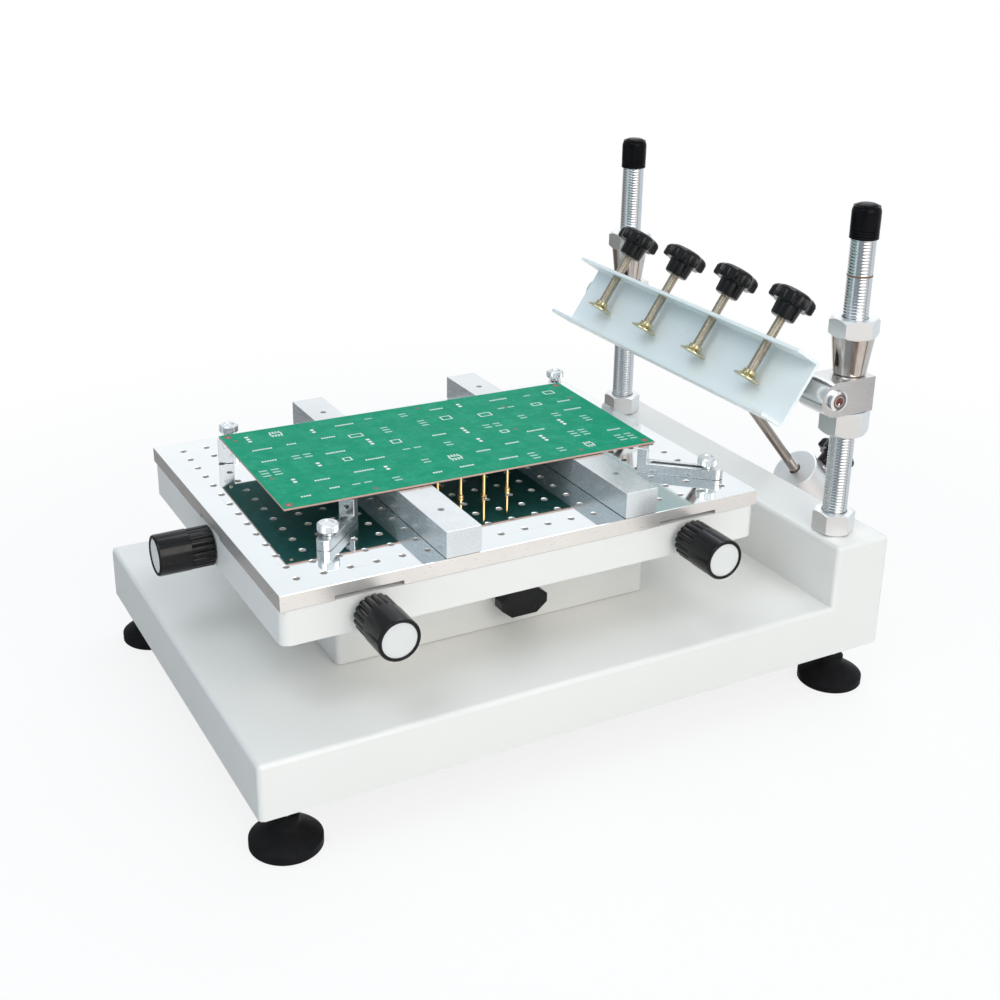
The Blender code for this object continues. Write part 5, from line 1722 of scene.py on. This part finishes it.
@dataclass
class ClampChannel(SubAssembly):
    """The hinged channel, its lugs and its four clamp screws, laid out about the pivot."""

    # Inset of the radius and rise above the sole, in mm.
    PAD_RIM = ((0.3, 1.4), (0.0, 0.9), (0.0, 0.3), (0.4, 0.0))

    knobs: StarKnob
    raised: float = 33.8
    length: float = 315 * MM
    height: float = 59 * MM
    depth: float = 27 * MM
    wall: float = 3 * MM
    ahead: float = 20.2 * MM
    below: float = 40 * MM
    bend: float = 4 * MM
    bend_slack: float = 0.5 * MM
    bend_points: int = 6
    inner_points: int = 4
    lip_points: int = 3
    end_chamfer: float = 0.3 * MM
    lug_edge: float = 0.5 * MM
    stem_radius: float = 4 * MM
    stem_pitch: float = 1.25 * MM
    stem_length: float = 51 * MM
    stem_play: float = 0.4 * MM
    lift: float = 22 * MM
    pad_radius: float = 11.6 * MM
    pad_shoulder: Pair = (0.72, 2.6 * MM)
    pad_socket: float = 3.5 * MM
    neck_radius: float = 5.8 * MM
    neck_start: float = 4.4 * MM
    neck_height: float = 3 * MM
    neck_edge: float = 0.5 * MM
    play: float = 0.3 * MM
    count: int = 4
    pitch: float = 73 * MM
    slope: float = 16.9
    boss_radius: float = 9 * MM
    boss_length: float = 12 * MM
    rod_radius: float = 4.5 * MM

    @property
    def place(self) -> Matrix:
        """The channel's own place: its pivot, turned back by the raised angle."""
        return Matrix.Translation(joint_place("channel_tilt")) @ about('X', -self.raised)

    @property
    def rod_turn(self) -> Matrix:
        """Turn from the channel's own Z to the balance rod, away from the pivot."""
        return Matrix.Rotation(-math.radians(self.slope) - math.pi / 2, 4, 'X')

    @property
    def rod_root(self) -> float:
        """Distance from the pivot to the channel's back, along the balance rod."""
        return -self.ahead / math.cos(math.radians(self.slope))

    @property
    def clamp_y(self) -> float:
        """Distance of the clamp screws ahead of the pivot, along the channel's own Y."""
        return -self.ahead - (self.depth + self.wall) / 2

    def clamp_place(self, index: int) -> Matrix:
        """Place of one clamp screw's axis in the channel, counted from 1."""
        return Matrix.Translation(((index - (self.count + 1) / 2) * self.pitch, self.clamp_y, 0))

    def build(self) -> None:
        """Make the channel, its lugs, its pads and its screws."""
        self.build_channel()
        for side in Side:
            node = f"hinge_lug_{side.word}"
            # The lugs' near-black colour is painted reflection of dark surroundings in their metal.
            deliver(node + "_blackened", [Part(cad_shape(node), DARK_REFLECTION_STEEL)], "channel", [node],
                    bevel=self.lug_edge)
        for index in range(1, self.count + 1):
            self.build_clamp(index)

    def section(self) -> list[Point]:
        """Outline of the folded section, with the channel's Y across and its Z up.

        Returns:
            Its corners in order.
        """
        back, front = -self.ahead, -self.ahead - self.depth
        low, high = -self.below, self.height - self.below
        outer, inner = self.bend, self.bend - self.wall + self.bend_slack
        lip = self.wall / 3
        web = back - self.wall - inner
        return [(front, low + lip), *arc(lip, 180, 270, self.lip_points, (front + lip, low + lip)),
                *arc(outer, 270, 360, self.bend_points, (back - outer, low + outer)),
                *arc(outer, 0, 90, self.bend_points, (back - outer, high - outer)),
                *arc(lip, 90, 180, self.lip_points, (front + lip, high - lip)), (front, high - self.wall),
                *arc(inner, 90, 0, self.inner_points, (web, high - self.wall - inner)),
                *arc(inner, 0, -90, self.inner_points, (web, low + self.wall + inner)),
                (front, low + self.wall)]

    def build_channel(self) -> None:
        """Fold the channel, bore it for the screws and weld on the rod's boss."""
        half = self.length / 2
        channel = moved(slab([self.section()], -half, half, self.end_chamfer),
                        about('Z', 90) @ about('X', 90))
        top = self.height - self.below
        bore, over_top, under_top = self.stem_radius + self.stem_play, top + MM, top - self.wall - MM
        drills = [moved(turned([(0, over_top), (bore, over_top), (bore, under_top), (0, under_top)], SMALL),
                        self.clamp_place(index)) for index in range(1, self.count + 1)]
        channel = combined(channel, drills)
        foot, mouth = self.rod_root - self.wall / 3, self.rod_root + self.boss_length
        bore = self.rod_radius + self.play
        boss = turned([(bore, foot), (self.boss_radius, foot), (self.boss_radius, mouth - MM),
                       (self.boss_radius - MM, mouth), (bore, mouth)], MIDDLE, ring=True)
        parts = placed(self.place, Part(channel, CHANNEL_COAT),
                       Part(moved(boss, self.rod_turn), CHANNEL_COAT))
        deliver("clamp_channel_coated", parts, "channel", ["clamp_channel"])

    def build_clamp(self, index: int) -> None:
        """Make one clamp screw and its pad.

        Args:
            index: The clamp's number, counted from 1.
        """
        place = self.place @ self.clamp_place(index)
        bottom = self.lift - self.below
        neck = bottom + self.neck_start
        top = neck + self.neck_height
        socket = top - self.pad_socket
        bore = self.stem_radius + self.play
        share, rise = self.pad_shoulder
        pad = turned([(0, socket), (bore, socket), (bore, top), (self.neck_radius - self.neck_edge, top),
                      (self.neck_radius, top - self.neck_edge), (self.neck_radius, neck),
                      (share * self.pad_radius, bottom + rise),
                      *((self.pad_radius - inset * MM, bottom + up * MM) for inset, up in self.PAD_RIM),
                      (0, bottom)], MIDDLE)
        deliver(f"clamp_pad_{index}_plated", placed(place, Part(pad, ZINC)), f"pad_{index}",
                [f"clamp_pad_{index}"])
        stem_end = socket + self.play
        knob = self.knobs.parts(self.stem_radius, self.stem_pitch, stem_end, stem_end + self.stem_length,
                                STEM_ZINC)
        deliver(f"clamp_screw_{index}_moulded", placed(place, *knob), f"screw_{index}",
                [f"clamp_screw_{index}"])


@dataclass
class Balance(SubAssembly):
    """The balance rod, its weight and the weight's knob."""

    channel: ClampChannel
    knobs: StarKnob
    reach: float = 258 * MM
    rod_edge: float = 0.8 * MM
    near: float = 185 * MM
    radius: float = 22.5 * MM
    length: float = 55 * MM
    edge: float = 2 * MM
    edge_round: float = 0.3
    stud: float = 3 * MM
    stud_pitch: float = MM
    knob_lift: float = 3 * MM
    running: float = 0.5 * MM
    play: float = 0.3 * MM
    socket_depth: float = 8 * MM

    def build(self) -> None:
        """Make the rod, the weight and the knob."""
        place = self.channel.place @ self.channel.rod_turn
        rod = Part(self.rod(), ROD_STEEL)
        deliver("balance_rod_ground", placed(place, rod), "channel", ["balance_rod"])
        at_weight = place @ Matrix.Translation((0, 0, self.near + self.length / 2))
        outwards = about('X', 90)
        bore = self.channel.rod_radius + self.running
        weight = Part(self.weight(bore, outwards), NUT_METAL)
        deliver("balance_weight_turned", placed(at_weight, weight), "weight", ["balance_weight"])
        knob = self.knobs.parts(self.stud, self.stud_pitch, bore + self.play, self.radius + self.knob_lift,
                                CHROME)
        deliver("weight_knob_moulded", placed(at_weight @ outwards, *knob), "weight_knob_body",
                ["weight_knob"])

    def rod(self) -> Shape:
        """The rod along Z, from the channel's socket to its free end.

        Returns:
            The closed shape.
        """
        radius, edge = self.channel.rod_radius, self.rod_edge
        start = self.channel.rod_root + self.channel.boss_length - self.socket_depth + self.play
        return turned([(0, self.reach), (radius - edge, self.reach), (radius, self.reach - edge),
                       (radius, start), (0, start)], MIDDLE)

    def weight(self, bore: float, outwards: Matrix) -> Shape:
        """The weight about its middle, bored along Z and drilled outwards for the knob's stud.

        Args:
            bore: The bore's radius.
            outwards: Turn from Z to the stud.

        Returns:
            The closed shape.
        """
        half, fillet = self.length / 2, self.edge_round * self.edge
        rim = [(self.radius - self.edge, half), (self.radius - fillet, half - fillet),
               (self.radius, half - self.edge)]
        inside = [(bore + MM, -half), (bore, MM - half), (bore, half - MM), (bore + MM, half)]
        whole = turned([*rim, *((radius, -height) for radius, height in reversed(rim)), *inside], WIDE,
                       ring=True)
        hole, surface = self.stud + self.play, self.radius + MM
        drill = turned([(0, surface), (hole, surface), (hole, 0), (0, 0)], SMALL)
        return combined(whole, [moved(drill, outwards)])


@dataclass
class Feet(SubAssembly):
    """The levelling feet."""

    rods: RidgedRodTree
    radius: float = 26.5 * MM
    rim: float = 8 * MM
    rim_edge: float = 1.2 * MM
    flare: Pair = (5 * MM, 10.6 * MM)
    hub_radius: float = 10 * MM
    hub_height: float = 25 * MM
    hub_edge: float = 1.5 * MM
    hub_foot: Pair = (19 * MM, 16.5 * MM)
    stud_radius: float = 5 * MM
    stud_pitch: float = 1.5 * MM
    nut: HexagonNut = HexagonNut(14.7 * MM, 4.5 * MM, 0.8 * MM)
    nut_top: float = 42.2 * MM
    nut_height: float = 7 * MM

    def build(self) -> None:
        """Make the four feet."""
        for corner in Corner:
            node = f"foot_{corner.value}"
            parts = placed(over(node, 0.0), *self.parts(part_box(node)[1].z))
            deliver(node + "_moulded", parts, node + "_body", [node])

    def parts(self, stud_top: float) -> list[Part]:
        """One foot, standing on z = 0, with its nut and its stud up to a height.

        Args:
            stud_top: Height of the stud's end.

        Returns:
            The parts.
        """
        edge, rim_edge = self.hub_edge, self.rim_edge
        disc = turned([
            (0, self.hub_height), (self.hub_radius - edge, self.hub_height),
            (self.hub_radius, self.hub_height - edge), (self.hub_radius, self.hub_foot[0]),
            (self.hub_radius + edge, self.hub_foot[1]), (self.radius - self.flare[0], self.flare[1]),
            (self.radius - rim_edge, self.rim), (self.radius, self.rim - rim_edge),
            (self.radius, MM), (self.radius - MM, 0), (0, 0)], WIDE)
        stud = self.rods.thread(THREAD_STEEL.material, self.stud_radius, self.stud_pitch,
                                self.hub_height - MM, stud_top, SMALL)
        nut = moved(self.nut.shape(self.nut_height),
                    Matrix.Translation((0, 0, self.nut_top - self.nut_height)))
        return [Part(disc, RUBBER), Part(stud, THREAD_STEEL), Part(nut, CHROME)]


# Studio

@dataclass(frozen=True)
class Viewpoint:
    """The photograph's camera, in metres and degrees."""

    position: Triple = (0.9620, -0.5803, 0.6339)
    azimuth: float = 61.73
    elevation: float = 21.08
    roll: float = 0.69
    lens: float = 51.47
    shift_x: float = 0.01775
    shift_y: float = -0.07018

    def place(self) -> None:
        """Stand the camera and make it the scene's own."""
        across, up_angle, roll = (math.radians(v) for v in (self.azimuth, self.elevation, self.roll))
        back = Vector((math.sin(across) * math.cos(up_angle), -math.cos(across) * math.cos(up_angle),
                       math.sin(up_angle)))
        right = Vector((0, 0, 1)).cross(back).normalized()
        up = back.cross(right)
        leaning_right = math.cos(roll) * right + math.sin(roll) * up
        leaning_up = math.cos(roll) * up - math.sin(roll) * right
        turn = Matrix((leaning_right, leaning_up, back)).transposed().to_4x4()
        camera = bpy.data.cameras.new("camera")
        camera.lens = self.lens
        camera.shift_x = self.shift_x
        camera.shift_y = self.shift_y
        obj = new_object("camera", camera)
        obj.matrix_world = Matrix.Translation(self.position) @ turn
        bpy.context.scene.camera = obj


@dataclass(frozen=True)
class SoftBox:
    """A square lamp that faces the press."""

    name: str
    position: Triple
    size: float
    power: float
    colour: Colour = (1.0, 1.0, 1.0)

    def place(self, target: Vector) -> None:
        """Hang the lamp and point it.

        Args:
            target: The point that it faces.
        """
        lamp = bpy.data.lights.new(self.name, 'AREA')
        lamp.size = self.size
        lamp.energy = self.power
        lamp.color = self.colour
        obj = new_object(self.name, lamp)
        obj.location = self.position
        obj.rotation_euler = (target - Vector(self.position)).to_track_quat('-Z', 'Y').to_euler()


@dataclass(frozen=True)
class Sector:
    """Directions of the room, by their bearing in degrees, that light the press in a darker tone."""

    bearing: float
    half_width: float
    softness: float
    tone: Colour
    highest: float = 90.0


class RoomSheet(Sheet):
    """A node tree of the room: the floor's material or the world."""

    TOP_SOFTNESS = 3.0

    def __init__(self, tree: bpy.types.NodeTree) -> None:
        """Start with an empty tree.

        Args:
            tree: The tree.
        """
        super().__init__(tree)
        tree.nodes.clear()
        self.path = self.add('ShaderNodeLightPath', {})

    def ray(self, kind: str) -> Socket:
        """Socket that is 1 for one kind of rays."""
        return self.path.outputs[f"Is {kind} Ray"]

    def seen_directly(self) -> Socket:
        """Socket that is 1 for camera, glossy and transmission rays."""
        return self.calc('MAXIMUM', self.calc('MAXIMUM', self.ray("Camera"), self.ray("Glossy")),
                         self.ray("Transmission"))

    def ramp(self, value: Socket, first: float, last: float, low: float = 0.0, high: float = 1.0) -> Socket:
        """A smooth step from one value to another.

        Args:
            value: Socket of what the step follows.
            first: Where the step starts.
            last: Where the step ends.
            low: Value before it.
            high: Value after it.

        Returns:
            The socket of the result.
        """
        return self.spread(value, low, high, first, last, 'SMOOTHSTEP')

    def vector(self, operation: str, *values: Any) -> bpy.types.Node:
        """A Vector Math node on vectors or their sockets."""
        return self.add('ShaderNodeVectorMath', dict(enumerate(values)), operation=operation)

    def height(self, direction: Socket) -> Socket:
        """Socket of a direction's rise."""
        return self.add('ShaderNodeSeparateXYZ', {0: direction}).outputs["Z"]

    def darkened(self, direction: Socket, tone: Any, sectors: Sequence[Sector]) -> Socket:
        """Darken a tone in the sectors that a direction lies in.

        Args:
            direction: Socket of the direction.
            tone: The tone outside the sectors.
            sectors: The darker sectors.

        Returns:
            The socket of the tone.
        """
        level = self.vector('MULTIPLY', direction, (1, 1, 0)).outputs[0]
        bearing = self.vector('NORMALIZE', level).outputs[0]
        for sector in sectors:
            angle = math.radians(sector.bearing)
            near = self.vector('DOT_PRODUCT', bearing, (math.cos(angle), math.sin(angle), 0)).outputs["Value"]
            edges = [math.cos(math.radians(sector.half_width + sign * sector.softness)) for sign in (1, -1)]
            share = self.ramp(near, *edges)
            if sector.highest < 90.0:
                rise = [math.sin(math.radians(sector.highest + sign * self.TOP_SOFTNESS)) for sign in (-1, 1)]
                share = self.calc('MULTIPLY', share, self.ramp(self.height(direction), *rise, 1.0, 0.0))
            tone = self.blend(share, tone, sector.tone)
        return tone


@dataclass(frozen=True)
class Studio:
    """A plain white room: floor, backdrop light and soft boxes."""

    floor_size: float = 30.0
    floor_tone: float = 0.86
    near_glow: float = 0.82
    near_radius: float = 0.45
    far_radius: float = 1.0
    ambient: float = 0.68
    ambient_tint: Colour = (0.85, 0.93, 1.0)
    shade: Sector = Sector(262.0, 62.0, 45.0, (0.47, 0.55, 0.64))
    horizon: Colour = (1.0, 1.0, 1.0)
    zenith: Colour = (0.84, 0.89, 0.93)
    ground: Colour = (0.985, 0.955, 0.93)
    ceiling_rise: Pair = (0.25, 0.6)
    ground_rise: Pair = (-0.1, 0.1)
    sectors: tuple[Sector, ...] = (
        Sector(95.0, 30.0, 24.0, (0.80, 0.86, 0.90)),
        Sector(208.0, 27.0, 5.0, (0.45, 0.50, 0.52)),
        Sector(208.0, 27.0, 5.0, (0.17, 0.15, 0.14), highest=-3.0),
        Sector(248.0, 12.0, 5.0, (0.42, 0.49, 0.51)),
        Sector(299.0, 23.0, 4.0, (0.32, 0.38, 0.41)),
        Sector(336.0, 17.0, 4.0, (0.24, 0.19, 0.17), highest=-29.0),
        Sector(47.0, 4.0, 3.0, (0.22, 0.21, 0.22)),
    )
    target: Triple = (0, 0, 0.15)
    lamps: tuple[SoftBox, ...] = (
        SoftBox("key_box", (2.1, 0.0, 1.5), 1.6, 24.0, (1.0, 0.945, 0.85)),
        SoftBox("top_box", (-0.9, 0.9, 2.2), 1.4, 14.0, (0.93, 0.97, 1.0)),
        SoftBox("front_box", (0.5, -1.2, 2.1), 1.2, 13.0, (0.86, 0.95, 1.0)),
    )

    def build(self) -> None:
        """Lay the floor, light the room and set the plain view."""
        bpy.context.scene.view_settings.view_transform = 'Standard'
        self.lay_floor()
        self.light_room()
        for lamp in self.lamps:
            lamp.place(Vector(self.target))

    def lay_floor(self) -> None:
        """A wide pale floor that keeps the press's shadow and fades into the white room.

        Glossy rays pass through it, so polished metal mirrors the room's tones below the horizon.
        """
        mesh = bpy.data.meshes.new("floor")
        mesh.from_pydata([(x, y, 0) for x, y in rectangle(self.floor_size, self.floor_size)], [],
                         [(0, 1, 2, 3)])
        floor = new_object("floor", mesh)
        material = bpy.data.materials.new("floor")
        material.use_nodes = True
        sheet = RoomSheet(material.node_tree)
        coords = sheet.add('ShaderNodeTexCoord', {}).outputs["Object"]
        distance = sheet.vector('LENGTH', coords).outputs["Value"]
        glow = sheet.ramp(distance, self.near_radius, self.far_radius, self.near_glow, 1.0)
        share = sheet.calc('MULTIPLY', glow, sheet.seen_directly())
        matt = sheet.out('ShaderNodeBsdfDiffuse', {"Color": (*[self.floor_tone] * 3, 1.0)})
        light = sheet.out('ShaderNodeEmission', {"Color": (*self.horizon, 1.0)})
        seen = sheet.out('ShaderNodeMixShader', {0: share, 1: matt, 2: light})
        open_ground = sheet.out('ShaderNodeBsdfTransparent', {})
        surface = sheet.out('ShaderNodeMixShader', {0: sheet.ray("Glossy"), 1: seen, 2: open_ground})
        sheet.add('ShaderNodeOutputMaterial', {0: surface})
        mesh.materials.append(material)

    def light_room(self) -> None:
        """White to the camera, an even soft light on the press, and a cooler ceiling in its metal."""
        world = bpy.data.worlds.new("room")
        bpy.context.scene.world = world
        world.use_nodes = True
        sheet = RoomSheet(world.node_tree)
        direction = sheet.add('ShaderNodeTexCoord', {}).outputs["Generated"]
        rise = sheet.height(direction)
        ceiling = sheet.blend(sheet.ramp(rise, *self.ceiling_rise), self.horizon, self.zenith)
        plain = sheet.blend(sheet.ramp(rise, *self.ground_rise), self.ground, ceiling)
        mirrored = sheet.out('ShaderNodeBackground', {
            "Color": sheet.darkened(direction, plain, self.sectors)})
        white = sheet.out('ShaderNodeBackground', {"Color": (*self.horizon, 1.0)})
        soft = sheet.out('ShaderNodeBackground', {
            "Color": sheet.darkened(direction, self.ambient_tint, [self.shade]), "Strength": self.ambient})
        seen = sheet.out('ShaderNodeMixShader', {0: sheet.ray("Glossy"), 1: white, 2: mirrored})
        surface = sheet.out('ShaderNodeMixShader', {0: sheet.seen_directly(), 1: soft, 2: seen})
        sheet.add('ShaderNodeOutputWorld', {0: surface})


def main() -> None:
    """Build the press piece by piece, and then the studio."""
    logging.basicConfig(level=logging.INFO, format="%(name)s: %(message)s")
    Viewpoint().place()
    rods = RidgedRodTree()
    knobs = StarKnob(rods)
    channel = ClampChannel(knobs)
    assemblies: list[SubAssembly] = [
        Enclosures(), WorkTable(PerforatedPlateTree()), Board(PrintedRowTree()), LocatingArms(rods),
        AdjustingKnobs(rods), Columns(rods), Head(), channel, Balance(channel, knobs), Feet(rods)]
    for assembly in assemblies:
        assembly.build()
    Studio().build()


if __name__ == "__main__":
    main()
